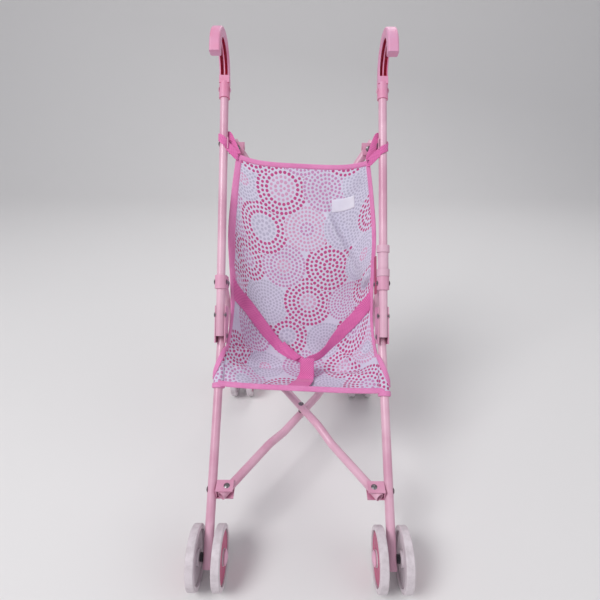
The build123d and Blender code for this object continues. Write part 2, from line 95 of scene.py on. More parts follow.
def by_side(left: object, right: object) -> dict[Side, object]:
    """A field with a value for each side."""
    return field(default_factory=lambda: {Side.LEFT: left, Side.RIGHT: right})


def srgb(text: str) -> Colour:
    """Turns a hex colour as seen on a screen into linear light.

    Args:
        text: six hex digits.

    Returns:
        The colour's red, green and blue from 0 to 1, linear.
    """
    parts = [int(text[i : i + 2], 16) / 255 for i in (0, 2, 4)]
    return tuple(c / 12.92 if c <= 0.04045 else ((c + 0.055) / 1.055) ** 2.4 for c in parts)


# --- node graphs -----------------------------------------------------------------------------
def operator(operation: str, swap: bool = False) -> Callable[[Wire, Wire | float], Wire]:
    """An operator between a wire and a wire or number, as a Math node.

    Args:
        operation: the Math node's operation.
        swap: puts the other one first.

    Returns:
        The operator, as a method of Wire.
    """
    def apply(one: Wire, other: Wire | float) -> Wire:
        """The operation's result."""
        return one.graph.maths(operation, *((other, one) if swap else (one, other)))
    return apply


class Wire:
    """A socket that takes part in arithmetic, so that shader maths reads as a formula.

    Less-than and greater-than give 1 where they hold, else 0.
    """

    def __init__(self, graph: Graph, socket: bpy.types.NodeSocket) -> None:
        """Keeps the graph that the socket belongs to."""
        self.graph = graph
        self.socket = socket

    __add__ = __radd__ = operator("ADD")
    __sub__ = operator("SUBTRACT")
    __rsub__ = operator("SUBTRACT", swap=True)
    __mul__ = __rmul__ = operator("MULTIPLY")
    __truediv__ = operator("DIVIDE")
    __rtruediv__ = operator("DIVIDE", swap=True)
    __lt__ = operator("LESS_THAN")
    __gt__ = operator("GREATER_THAN")


class Graph:
    """One material's node tree, with the few kinds of step the finishes need."""

    def __init__(self, name: str) -> None:
        """Makes an empty node material.

        Args:
            name: the material's name.
        """
        self.material = bpy.data.materials.new(name)
        self.material.use_nodes = True
        self.tree = self.material.node_tree
        self.tree.nodes.clear()

    def node(self, kind: str, settings: dict | None = None, inputs: dict | None = None) -> bpy.types.Node:
        """Adds one node.

        Args:
            kind: the node's type, without the ShaderNode in front.
            settings: its own settings.
            inputs: values or wires for its input sockets, by name or number.

        Returns:
            The new node.
        """
        made = self.tree.nodes.new(f"ShaderNode{kind}")
        for key, value in (settings or {}).items():
            setattr(made, key, value)
        for key, value in (inputs or {}).items():
            if isinstance(value, Wire):
                self.tree.links.new(value.socket, made.inputs[key])
            else:
                made.inputs[key].default_value = value
        return made

    def out(self, made: bpy.types.Node, key: str | int = 0) -> Wire:
        """One output of a node as a wire."""
        return Wire(self, made.outputs[key])

    def maths(self, operation: str, *values: Wire | float) -> Wire:
        """A Math node on one to three values."""
        return self.out(self.node("Math", {"operation": operation}, dict(enumerate(values))))

    def vector(self, operation: str, *values: Wire | Sequence[float]) -> bpy.types.Node:
        """A Vector Math node on one or two vectors."""
        return self.node("VectorMath", {"operation": operation}, dict(enumerate(values)))

    def mix(self, kind: str, share: Wire | float, low: Wire | Sequence[float] | float,
            high: Wire | Sequence[float] | float) -> Wire:
        """Goes from low to high as share goes from 0 to 1.

        Args:
            kind: FLOAT, VECTOR or RGBA.
            share: how far from low to high.
            low: the value at 0.
            high: the value at 1.

        Returns:
            The mixed value.
        """
        first, result = {"FLOAT": (2, 0), "VECTOR": (4, 1), "RGBA": (6, 2)}[kind]
        made = self.node("Mix", {"data_type": kind}, {0: share, first: low, first + 1: high})
        return self.out(made, result)

    def blend_colour(self, share: Wire | float, low: Wire | Colour, high: Wire | Colour) -> Wire:
        """Goes from one colour to another as share goes from 0 to 1."""
        return self.mix("RGBA", share, *(c if isinstance(c, Wire) else (*c, 1.0) for c in (low, high)))

    def split(self, value: Wire) -> tuple[Wire, Wire, Wire]:
        """The x, y and z of a vector."""
        made = self.node("SeparateXYZ", inputs={0: value})
        return tuple(self.out(made, index) for index in range(3))

    def place(self) -> Wire:
        """Where a point is on the object, in metres."""
        return self.out(self.node("TexCoord"), "Object")

    def sewn(self) -> Wire:
        """The piece's own flat map, in metres of cloth."""
        return self.out(self.node("UVMap", {"uv_map": "flat"}))

    def noise(self, where: Wire, scale: float, detail: float = 3.0, rough: float = 0.55) -> Wire:
        """Cloudy noise from 0 to 1."""
        inputs = {"Vector": where, "Scale": scale, "Detail": detail, "Roughness": rough}
        return self.out(self.node("TexNoise", inputs=inputs))

    def ramp(self, value: Wire, low: float, high: float) -> Wire:
        """0 below low, 1 above high, smooth between."""
        inputs = {0: value, 1: low, 2: high}
        return self.out(self.node("MapRange", {"interpolation_type": "SMOOTHSTEP"}, inputs))

    def bump(self, height: Wire, depth: float, under: Wire | None = None) -> Wire:
        """A normal from a height.

        Args:
            height: the height from 0 to 1.
            depth: the relief in metres.
            under: the normal that it is laid on, where there is one.

        Returns:
            The normal.
        """
        inputs = {"Height": height, "Distance": depth, "Strength": 1.0}
        if under is not None:
            inputs["Normal"] = under
        return self.out(self.node("Bump", inputs=inputs))

    def open_air(self, distance: float) -> Wire:
        """How open a point is within a distance in metres: low in corners, 1 in the open."""
        return self.out(self.node("AmbientOcclusion", {"samples": 8}, {"Distance": distance}), "AO")

    def finish(self, **inputs: Wire | float | Colour) -> Material:
        """Closes the graph with one Principled shader.

        Args:
            **inputs: the shader's sockets, with _ for a space.

        Returns:
            The material.
        """
        named = {k.replace("_", " "): v for k, v in inputs.items()}
        named = {k: (*v, 1.0) if isinstance(v, tuple) and len(v) == 3 else v for k, v in named.items()}
        shader = self.node("BsdfPrincipled", inputs=named)
        end = self.node("OutputMaterial")
        self.tree.links.new(shader.outputs[0], end.inputs[0])
        return self.material


# --- finishes --------------------------------------------------------------------------------
@dataclass(frozen=True)
class Enamel:
    """Baked enamel on steel tube: slightly mottled, with rubbed spots and an orange-peel skin.

    Scales of noise are cells to the metre, and a relief is in metres, here and in each finish.
    """

    name: str = "pink_enamel"
    colour: Colour = srgb("E3B4C8")
    shade: Colour = srgb("D094AE")
    rub: Colour = srgb("A87888")
    mottle: float = 18.0
    spots: float = 420.0
    skin: float = 900.0
    relief: float = 0.00004

    def make(self) -> Material:
        """Builds the material; its spots are drawn out along Y and Z.

        Returns:
            The material.
        """
        g = Graph(self.name)
        where = g.place()
        cloud = g.noise(where, self.mottle, 4.0)
        colour = g.blend_colour(g.ramp(cloud, 0.35, 0.75), self.colour, self.shade)
        stretched = g.out(g.vector("MULTIPLY", where, (1.0, 0.35, 0.35)))
        spots = g.ramp(g.noise(stretched, self.spots, 5.0, 0.7), 0.70, 0.78)
        colour = g.blend_colour(spots * 0.6, colour, self.rub)
        normal = g.bump(g.noise(where, self.skin, 2.0), self.relief)
        return g.finish(Base_Color=colour, Roughness=0.30 + 0.16 * cloud + 0.2 * spots,
                        Normal=normal, Coat_Weight=0.25, Coat_Roughness=0.18)


@dataclass(frozen=True)
class Moulding:
    """Moulded plastic: faint flow marks, painted shade in the corners, fine scuffs."""

    name: str
    colour: Colour
    flow_and_shade: Colour
    rough: float = 0.38
    painted_shade_share: float = 0.75
    corner: float = 0.006
    flow: float = 35.0
    scuffs: float = 1500.0
    relief: float = 0.00005

    def make(self) -> Material:
        """Builds the material.

        Returns:
            The material.
        """
        g = Graph(self.name)
        where = g.place()
        cloud = g.noise(where, self.flow, 4.0)
        base = g.blend_colour(g.ramp(cloud, 0.3, 0.8) * 0.35, self.colour, self.flow_and_shade)
        # Painted shade: corners and hollows that the AO node finds are darkened; the flow marks use the
        # same dark colour.
        painted_shade = 1.0 - g.ramp(g.open_air(self.corner), 0.25, 0.85)
        colour = g.blend_colour(painted_shade * self.painted_shade_share, base, self.flow_and_shade)
        long_way = g.out(g.vector("MULTIPLY", where, (1.0, 0.2, 0.2)))
        scuff = g.noise(long_way, self.scuffs, 3.0, 0.6)
        rough = self.rough + 0.12 * cloud + 0.08 * scuff
        return g.finish(Base_Color=colour, Roughness=rough, Normal=g.bump(scuff, self.relief))


@dataclass(frozen=True)
class WheelPlastic:
    """Off-white plastic wheel with road dirt on the tread, and painted shade in its corners and round the
    hub.

    The axles lie `axle_y` in front of and behind the middle, `axle_z` above the floor.
    """

    name: str = "wheel_plastic"
    colour: Colour = srgb("E2D8DE")
    dirt_and_shade: Colour = srgb("94868A")
    tread_from: float = 0.0285
    tread_wide: float = 0.003
    axle_y: float = 0.156
    axle_z: float = 0.032
    corner: float = 0.008
    patches: float = 110.0
    specks: float = 600.0
    relief: float = 0.00008

    def make(self) -> Material:
        """Builds the material: dirt grows where the radius from the axle passes the tread's.

        Returns:
            The material.
        """
        g = Graph(self.name)
        where = g.place()
        _, y, z = g.split(where)
        from_axle = g.maths("ABSOLUTE", y) - self.axle_y
        height = z - self.axle_z
        radius = g.maths("SQRT", from_axle * from_axle + height * height)
        cloud = g.noise(where, self.patches, 5.0, 0.65)
        fine = g.noise(where, self.specks, 4.0, 0.7)
        tread = g.ramp(radius, self.tread_from, self.tread_from + self.tread_wide)
        patchy = g.ramp(cloud, 0.38, 0.72)
        specks = g.ramp(fine, 0.60, 0.72)
        dirty = tread * (0.14 + 0.22 * patchy) + specks * 0.16 + patchy * 0.05
        # Painted shade: corners that the AO node finds, as round the hub, are darkened with the same colour
        # as the dirt.
        painted_shade = 1.0 - g.ramp(g.open_air(self.corner), 0.2, 0.8)
        share = g.maths("MINIMUM", dirty + painted_shade * 0.45, 1.0)
        colour = g.blend_colour(share, self.colour, self.dirt_and_shade)
        normal = g.bump(fine + cloud * 2.0, self.relief)
        return g.finish(Base_Color=colour, Roughness=0.42 + 0.3 * dirty, Normal=normal)


@dataclass(frozen=True)
class Steel:
    """Dull plated steel with dark spots."""

    name: str = "rivet_steel"
    colour: Colour = srgb("8C888C")
    spot: Colour = srgb("3E3936")
    spots: float = 500.0
    relief: float = 0.00006

    def make(self) -> Material:
        """Builds the material.

        Returns:
            The material.
        """
        g = Graph(self.name)
        cloud = g.noise(g.place(), self.spots, 5.0, 0.7)
        share = g.ramp(cloud, 0.45, 0.7)
        colour = g.blend_colour(share, self.colour, self.spot)
        return g.finish(Base_Color=colour, Roughness=0.32 + 0.35 * share, Metallic=0.9 - 0.5 * share,
                        Normal=g.bump(cloud, self.relief))


@dataclass(frozen=True)
class Webbing:
    """Woven tape: slanted ribs across its width, and fainter, wider ones square to them, with painted shade
    in the grooves.
    """

    name: str
    colour: Colour
    shade: Colour
    rib: float = 0.0021
    slant: float = 0.7
    cloud: float = 45.0
    fuzz: float = 1600.0
    relief: float = 0.00022

    def make(self) -> Material:
        """Builds the material from the tape's flat map: x runs along it, y across.

        The weave is a sine of the length along plus the slanted width, with a fainter, slower one
        square to it.

        Returns:
            The material.
        """
        g = Graph(self.name)
        along, across, _ = g.split(g.sewn())
        turn = 2 * math.pi / self.rib
        ribs = g.maths("SINE", (along + across * self.slant) * turn) * 0.5 + 0.5
        cross = g.maths("SINE", (across - along * self.slant) * (turn * 0.8)) * 0.5 + 0.5
        weave = ribs * 0.7 + cross * 0.3
        cloud = g.noise(g.place(), self.cloud, 4.0)
        fuzz = g.noise(g.place(), self.fuzz, 2.0)
        # Painted shade: the grooves between the ribs are darkened towards the shade colour; the cloud and
        # fuzz add tone that differs at random.
        share = (1.0 - weave) * 0.75 + g.ramp(cloud, 0.3, 0.8) * 0.3 + fuzz * 0.1
        colour = g.blend_colour(share, self.colour, self.shade)
        normal = g.bump(weave + fuzz * 0.3, self.relief)
        return g.finish(Base_Color=colour, Roughness=0.78 + 0.1 * fuzz, Normal=normal,
                        Sheen_Weight=0.25, Sheen_Roughness=0.5)


@dataclass(frozen=True)
class Medallion:
    """A round patch of dots set in rings, on the cloth's flat map, in millimetres."""

    x: float
    y: float
    rings: int
    pitch: float
    outer: str
    inner: str
    inner_rings: int = 0


@dataclass(frozen=True)
class DottedCloth:
    """Printed cotton: dots in rings, on round patches that lie over one another."""

    name: str = "seat_fabric"
    ground: Colour = srgb("DDD8EC")
    spacing: float = 0.98
    dot: float = 0.325
    inks: dict = field(default_factory=lambda: {
        "rose": srgb("C2267E"), "lilac": srgb("C985B8"), "mist": srgb("BDB6CE"), "blush": srgb("D79CC2")})
    bare: Point = (0.0, -900.0, 6.0)
    ring_turn: float = 0.37
    odd_growth: float = 0.045
    soft_edge: float = 0.12
    thread: float = 0.62
    soil_and_shade: Colour = srgb("A8A2B4")
    wander: float = 300.0
    cloud: float = 26.0
    fuzz: float = 1400.0
    crease: float = 120.0
    crease_relief: float = 0.0009
    weave_relief: float = 0.00012
    patches: tuple[Medallion, ...] = tuple(Medallion(*row) for row in (
        (-70, 14, 6, 4.8, "lilac", "mist", 2), (-20, 6, 5, 5.5, "rose", "blush", 2),
        (32, 18, 6, 4.3, "mist", "mist"), (78, 10, 6, 5.0, "rose", "lilac", 2),
        (-92, 54, 5, 5.5, "rose", "rose"), (-47, 56, 6, 4.3, "mist", "blush", 2),
        (3, 62, 6, 4.8, "lilac", "lilac"), (54, 60, 5, 5.5, "rose", "blush", 2),
        (95, 66, 6, 4.1, "blush", "mist", 2), (-70, 102, 6, 4.8, "lilac", "lilac"),
        (-19, 108, 5, 5.5, "rose", "mist", 2), (30, 104, 6, 4.1, "mist", "mist"),
        (76, 108, 6, 5.5, "rose", "lilac", 3), (-94, 146, 5, 5.5, "rose", "blush", 2),
        (-48, 150, 7, 4.3, "mist", "mist"), (8, 156, 6, 5.5, "rose", "blush", 2),
        (57, 152, 6, 4.1, "lilac", "lilac"), (95, 156, 5, 5.5, "rose", "mist", 2),
        (-74, 196, 5, 5.5, "rose", "lilac", 2), (-24, 202, 6, 4.8, "lilac", "blush", 2),
        (36, 204, 6, 5.5, "rose", "rose"), (84, 198, 7, 4.1, "mist", "blush", 2),
        (-93, 242, 6, 4.8, "lilac", "mist", 2), (-50, 246, 6, 5.5, "rose", "mist", 3),
        (5, 250, 6, 4.8, "blush", "lilac", 2), (56, 252, 7, 4.3, "mist", "mist"),
        (97, 250, 5, 5.5, "rose", "rose"), (-76, 296, 6, 4.3, "mist", "blush", 2),
        (-26, 298, 6, 5.5, "rose", "blush", 3), (28, 300, 6, 4.8, "lilac", "lilac"),
        (76, 302, 7, 4.1, "mist", "mist"), (-60, 338, 5, 5.5, "rose", "rose"),
        (-2, 342, 6, 4.8, "lilac", "mist", 2), (52, 340, 5, 5.5, "rose", "lilac", 2)))

    def make(self) -> Material:
        """Builds the material.

        The topmost patch over a point gives its centre, ring pitch and inks, and `bare` stands
        for them where there is none: a centre far below the cloth, and a pitch. One set of steps
        then finds the nearest dot: the ring is the radius divided by the pitch, rounded down,
        and the dot's angle is the point's, rounded to a whole share of the ring.

        Returns:
            The material.
        """
        g = Graph(self.name)
        flat = g.out(g.vector("MULTIPLY", g.sewn(), (1.0 / MM,) * 3))
        middle, outer, inner, cover = self.bare, self.ground, self.ground, 0.0
        for patch in self.patches:
            span = g.out(g.vector("DISTANCE", flat, (patch.x, patch.y, 0.0)), "Value")
            here = span < patch.rings * patch.pitch
            middle = g.mix("VECTOR", here, middle, (patch.x, patch.y, patch.pitch))
            outer = g.blend_colour(here, outer, self.inks[patch.outer])
            inner = g.blend_colour(here, inner, self.inks[patch.inner])
            cover = g.mix("FLOAT", here, cover, patch.inner_rings * patch.pitch)
        x, y, _ = g.split(flat)
        mid_x, mid_y, pitch = g.split(middle)
        dx, dy = x - mid_x, y - mid_y
        radius = g.maths("SQRT", dx * dx + dy * dy)
        ring = g.maths("FLOOR", radius / pitch)
        ring_r = (ring + 0.5) * pitch
        around = ring_r * (2 * math.pi)
        count = g.maths("ROUND", around / (pitch * self.spacing))
        turn = g.maths("ARCTAN2", dy, dx) / (2 * math.pi) * count + ring * self.ring_turn
        arc = (turn - g.maths("ROUND", turn)) * around / count
        off = radius - ring_r
        span = g.maths("SQRT", arc * arc + off * off)
        odd = g.maths("MODULO", ring, 2.0)
        wander = g.noise(g.place(), self.wander, 2.0)
        dot_r = pitch * (self.dot + self.odd_growth * odd) + (wander - 0.5) * 0.5
        dot = 1.0 - g.ramp(span - dot_r, -self.soft_edge, self.soft_edge)
        ink = g.blend_colour(radius < cover, outer, inner)
        return self._cloth(g, flat, dot, ink)

    def _cloth(self, g: Graph, flat: Wire, dot: Wire, ink: Wire) -> Material:
        """Prints the dots on a plain weave with a few grey handling marks and painted shade between the
        threads.

        Args:
            g: the graph.
            flat: the place on the flat cloth in millimetres.
            dot: 1 inside a dot, 0 outside.
            ink: the dot's colour.

        Returns:
            The material.
        """
        x, y, _ = g.split(flat)
        threads = 2 * math.pi / self.thread
        weave = g.maths("SINE", x * threads) * g.maths("SINE", y * threads) * 0.5 + 0.5
        cloud = g.noise(g.place(), self.cloud, 5.0)
        fuzz = g.noise(g.place(), self.fuzz, 2.0)
        # Grey handling marks from the cloud, and painted shade in the grooves between the threads.
        soil_and_shade = g.ramp(cloud, 0.45, 0.8) * 0.22 + (1.0 - weave) * 0.10
        ground = g.blend_colour(soil_and_shade, self.ground, self.soil_and_shade)
        colour = g.blend_colour(dot * (0.86 + 0.14 * weave), ground, ink)
        normal = g.bump(g.noise(g.place(), self.crease, 3.0), self.crease_relief)
        normal = g.bump(weave + fuzz * 0.4, self.weave_relief, normal)
        return g.finish(Base_Color=colour, Roughness=0.82 + 0.08 * fuzz, Normal=normal,
                        Sheen_Weight=0.12, Sheen_Roughness=0.5)


# --- meshes ----------------------------------------------------------------------------------
def grid_faces(rows: int, columns: int, close_rows: bool = False,
               close_columns: bool = False) -> Array:
    """Quads between neighbours on a grid of points numbered row by row.

    Args:
        rows: how many rows of points.
        columns: how many points in a row.
        close_rows: joins the last row to the first.
        close_columns: joins the last column to the first.

    Returns:
        An array of four point numbers for each quad.
    """
    r = np.arange(rows if close_rows else rows - 1)[:, None]
    c = np.arange(columns if close_columns else columns - 1)[None, :]
    r2, c2 = (r + 1) % rows, (c + 1) % columns
    quads = np.stack(np.broadcast_arrays(r * columns + c, r * columns + c2, r2 * columns + c2,
                                         r2 * columns + c), -1)
    return quads.reshape(-1, 4)


def new_object(name: str, points: Array, faces: Sequence[Sequence[int]],
               flat: Array | None = None) -> Piece:
    """Makes a mesh object at the origin with its place in its mesh.

    Args:
        name: the piece's name.
        points: its points in millimetres.
        faces: its faces as rows of point numbers.
        flat: a place on the flat cloth for each point, in millimetres, kept as the UV map "flat".

    Returns:
        The object, linked to the scene.
    """
    mesh = bpy.data.meshes.new(name)
    mesh.from_pydata((points * MM).tolist(), [], faces)
    mesh.validate()
    if flat is not None:
        corner = np.zeros(len(mesh.loops), np.int32)
        mesh.loops.foreach_get("vertex_index", corner)
        layer = mesh.uv_layers.new(name="flat")
        layer.data.foreach_set("uv", (flat[corner] * MM).astype(np.float32).ravel())
    mesh.polygons.foreach_set("use_smooth", np.full(len(mesh.polygons), True))
    mesh.update()
    made = bpy.data.objects.new(name, mesh)
    bpy.context.scene.collection.objects.link(made)
    return made


def cloth_grid(name: str, points: Array, flat: Array, thick: float, offset: float = 0.0,
               ring: bool = False) -> Piece:
    """Makes a grid of cloth with a thickness.

    Args:
        name: the piece's name.
        points: rows of points in millimetres, with x, y and z last.
        flat: a place on the flat cloth for each point, in millimetres.
        thick: the cloth's thickness in millimetres.
        offset: 0 centres the thickness on the points, -1 puts it behind them.
        ring: joins the end of each row to its start.

    Returns:
        The object.
    """
    rows, columns = points.shape[:2]
    faces = grid_faces(rows, columns, close_columns=ring).tolist()
    piece = new_object(name, points.reshape(-1, 3), faces, flat.reshape(-1, 2))
    wall = piece.modifiers.new("cloth", "SOLIDIFY")
    wall.thickness = thick * MM
    wall.offset = offset
    return piece


def unit(rows: Array) -> Array:
    """Each row divided by its length."""
    return rows / np.maximum(np.linalg.norm(rows, axis=-1, keepdims=True), 1e-9)


def run_along(points: Array, axis: int, start: int) -> Array:
    """The length along each line of a grid of points, nothing at the start's place in it.

    Args:
        points: the grid, with x, y and z last.
        axis: 0 to run down the columns, 1 to run along the rows.
        start: the place on each line that the length is counted from.

    Returns:
        A length for each point of the grid.
    """
    steps = np.linalg.norm(np.diff(points, axis=axis), axis=-1)
    run = np.insert(np.cumsum(steps, axis=axis), 0, 0.0, axis=axis)
    return run - np.take(run, [start], axis=axis)


def through(marks: Sequence[float], values: Sequence, at: Array) -> Array:
    """A smooth curve through values at marks: cubic Hermite spans with averaged slopes.

    Args:
        marks: rising parameters of the values.
        values: numbers or rows, one for each mark.
        at: the parameters wanted.

    Returns:
        The curve's values, one row for each parameter.
    """
    marks, values = np.asarray(marks, float), np.asarray(values, float)
    if values.ndim == 1:
        return through(marks, values[:, None], at)[..., 0]
    slopes = np.gradient(values, marks, axis=0)
    index = np.clip(np.searchsorted(marks, at, side="right") - 1, 0, len(marks) - 2)
    span = (marks[index + 1] - marks[index])[..., None]
    t = ((at - marks[index])[..., None]) / span
    a, b = values[index], values[index + 1]
    ma, mb = slopes[index] * span, slopes[index + 1] * span
    return ((2 * t**3 - 3 * t**2 + 1) * a + (t**3 - 2 * t**2 + t) * ma
            + (3 * t**2 - 2 * t**3) * b + (t**3 - t**2) * mb)


def rounded_section(width: float, thick: float, square: float = 3.0, count: int = 20) -> Array:
    """A flat section with rounded edges: a superellipse, x across and y through.

    Args:
        width: its full width.
        thick: its full thickness.
        square: 2 gives an ellipse, more gives squarer edges.
        count: points round it.

    Returns:
        The points, anticlockwise.
    """
    turn = np.linspace(0, 2 * math.pi, count, endpoint=False)
    x, y = np.cos(turn), np.sin(turn)
    return np.stack([np.sign(x) * abs(x) ** (2 / square) * width / 2,
                     np.sign(y) * abs(y) ** (2 / square) * thick / 2], -1)


def swept(name: str, path: Array, across: Array, section: Array, closed: bool = False,
          widths: Array | None = None, twist: Array | None = None,
          lean: Array | None = None) -> Piece:
    """Carries a section along a path.

    A point is the path's point plus the section's x along `across` and its y along the path's
    own normal there, which is the path's direction crossed with `across`.

    Args:
        name: the piece's name.
        path: the points of its middle line.
        across: the section's x direction at each.
        section: the section's points.
        closed: whether the path is a ring.
        widths: a factor on the section's x at each point.
        twist: an angle in radians by which the section turns about the path at each point.
        lean: how far the section's x direction leans along the path at each point.

    Returns:
        The object, with a flat map of the length along and the width across.
    """
    if closed:
        along = unit(np.roll(path, -1, 0) - np.roll(path, 1, 0))
    else:
        along = unit(np.gradient(path, axis=0))
    across = unit(across - (across * along).sum(-1, keepdims=True) * along)
    through_it = np.cross(along, across)
    if twist is not None:
        c, s = np.cos(twist)[:, None], np.sin(twist)[:, None]
        across, through_it = across * c + through_it * s, through_it * c - across * s
    if lean is not None:
        across = across + along * lean[:, None]
    wide = np.ones(len(path)) if widths is None else widths
    points = (path[:, None] + across[:, None] * section[None, :, :1] * wide[:, None, None]
              + through_it[:, None] * section[None, :, 1:])
    rows, columns = points.shape[:2]
    steps = np.linalg.norm(np.diff(path, axis=0), axis=1)
    run = np.concatenate([[0.0], np.cumsum(steps)])
    flat = np.stack(np.broadcast_arrays(run[:, None], section[None, :, 0] * wide[:, None]), -1)
    faces = grid_faces(rows, columns, close_rows=closed, close_columns=True).tolist()
    if not closed:
        cap = np.arange(columns)
        faces += [cap[::-1].tolist(), (cap + (rows - 1) * columns).tolist()]
    return new_object(name, points.reshape(-1, 3), faces, flat.reshape(-1, 2))


def lathe(name: str, outline: Array, centre: Sequence[float], count: int = 96) -> Piece:
    """Turns an outline about an axle that runs along X.

    Args:
        name: the piece's name.
        outline: (place along the axle, radius) points; it starts and ends on the axle.
        centre: a point of the axle.
        count: steps round the axle.

    Returns:
        The object.
    """
    turn = np.linspace(0, 2 * math.pi, count, endpoint=False)
    ring = outline[1:-1]
    x = np.broadcast_to(ring[None, :, 0], (count, len(ring)))
    y = ring[None, :, 1] * np.cos(turn)[:, None]
    z = ring[None, :, 1] * np.sin(turn)[:, None]
    points = np.stack([x, y, z], -1).reshape(-1, 3)
    ends = np.array([[outline[0, 0], 0, 0], [outline[-1, 0], 0, 0]])
    points = np.concatenate([points, ends]) + np.asarray(centre)
    step, first, last = len(ring), len(points) - 2, len(points) - 1
    here = np.arange(count) * step
    after = np.roll(here, -1)
    faces = grid_faces(count, step, close_rows=True).tolist()
    faces += np.stack([np.full(count, first), here, after], -1).tolist()
    faces += np.stack([np.full(count, last), after + step - 1, here + step - 1], -1).tolist()
    return new_object(name, points, faces)


def dress(piece: Piece, material: Material) -> Piece:
    """Gives a piece its material, in place of any it has.

    Args:
        piece: the piece.
        material: its material.

    Returns:
        The piece.
    """
    piece.data.materials.clear()
    piece.data.materials.append(material)
    return piece


# --- the frame's lines -----------------------------------------------------------------------
@dataclass(frozen=True)
class TubeLine:
    """A straight tube's centre line, in millimetres, found from its node's mesh."""

    start: Array
    along: Array

    @classmethod
    def of(cls, node: Piece, near_end: float = 25.0, slice_thick: float = 0.5,
           rounds: int = 3) -> TubeLine:
        """Fits the line through the centres of the tube's two ends; it starts at the low one.

        A first guess joins the points near the lowest and the highest. Each round then takes a
        thin slice square to the guess at either end, and joins the centres of the slices.

        Args:
            node: the tube's CAD node.
            near_end: how far in height the first guess looks from an end.
            slice_thick: how thick the slices are.
            rounds: how many times the guess is made better.

        Returns:
            The line.
        """
        flat = np.zeros(len(node.data.vertices) * 3)
        node.data.vertices.foreach_get("co", flat)
        points = flat.reshape(-1, 3) / MM
        low, high = points[:, 2].min(), points[:, 2].max()
        ends = [points[abs(points[:, 2] - z) < near_end] for z in (low, high)]
        middle = (points.max(0) + points.min(0)) / 2
        guess = unit((ends[1].mean(0) - ends[0].mean(0))[None])[0]
        guess[0] = 0.0
        for _ in range(rounds):
            run = (points - middle) @ guess
            near = [points[run < run.min() + slice_thick], points[run > run.max() - slice_thick]]
            centres = [(p.max(0) + p.min(0)) / 2 for p in near]
            guess = unit((centres[1] - centres[0])[None])[0]
        return cls(centres[0], guess)

    @property
    def front(self) -> Array:
        """The direction square to the tube that points to the front."""
        return unit(np.cross([1.0, 0.0, 0.0], self.along)[None])[0]

    def at(self, along: float | Array, front: float | Array = 0.0,
           side: float | Array = 0.0) -> Array:
        """Points set off from the centre line.

        Args:
            along: how far up the tube.
            front: how far in front of its centre line.
            side: how far to +X of it.

        Returns:
            The points, x, y and z last.
        """
        along, front, side = np.broadcast_arrays(np.asarray(along, float), front, side)
        return (self.start + along[..., None] * self.along + front[..., None] * self.front
                + side[..., None] * np.array([1.0, 0.0, 0.0]))


# --- sewn parts ------------------------------------------------------------------------------
@dataclass(frozen=True)
class Fold:
    """A soft ridge in the cloth between two places, given as (u, v)."""

    start: tuple[float, float]
    end: tuple[float, float]
    height: float
    width: float


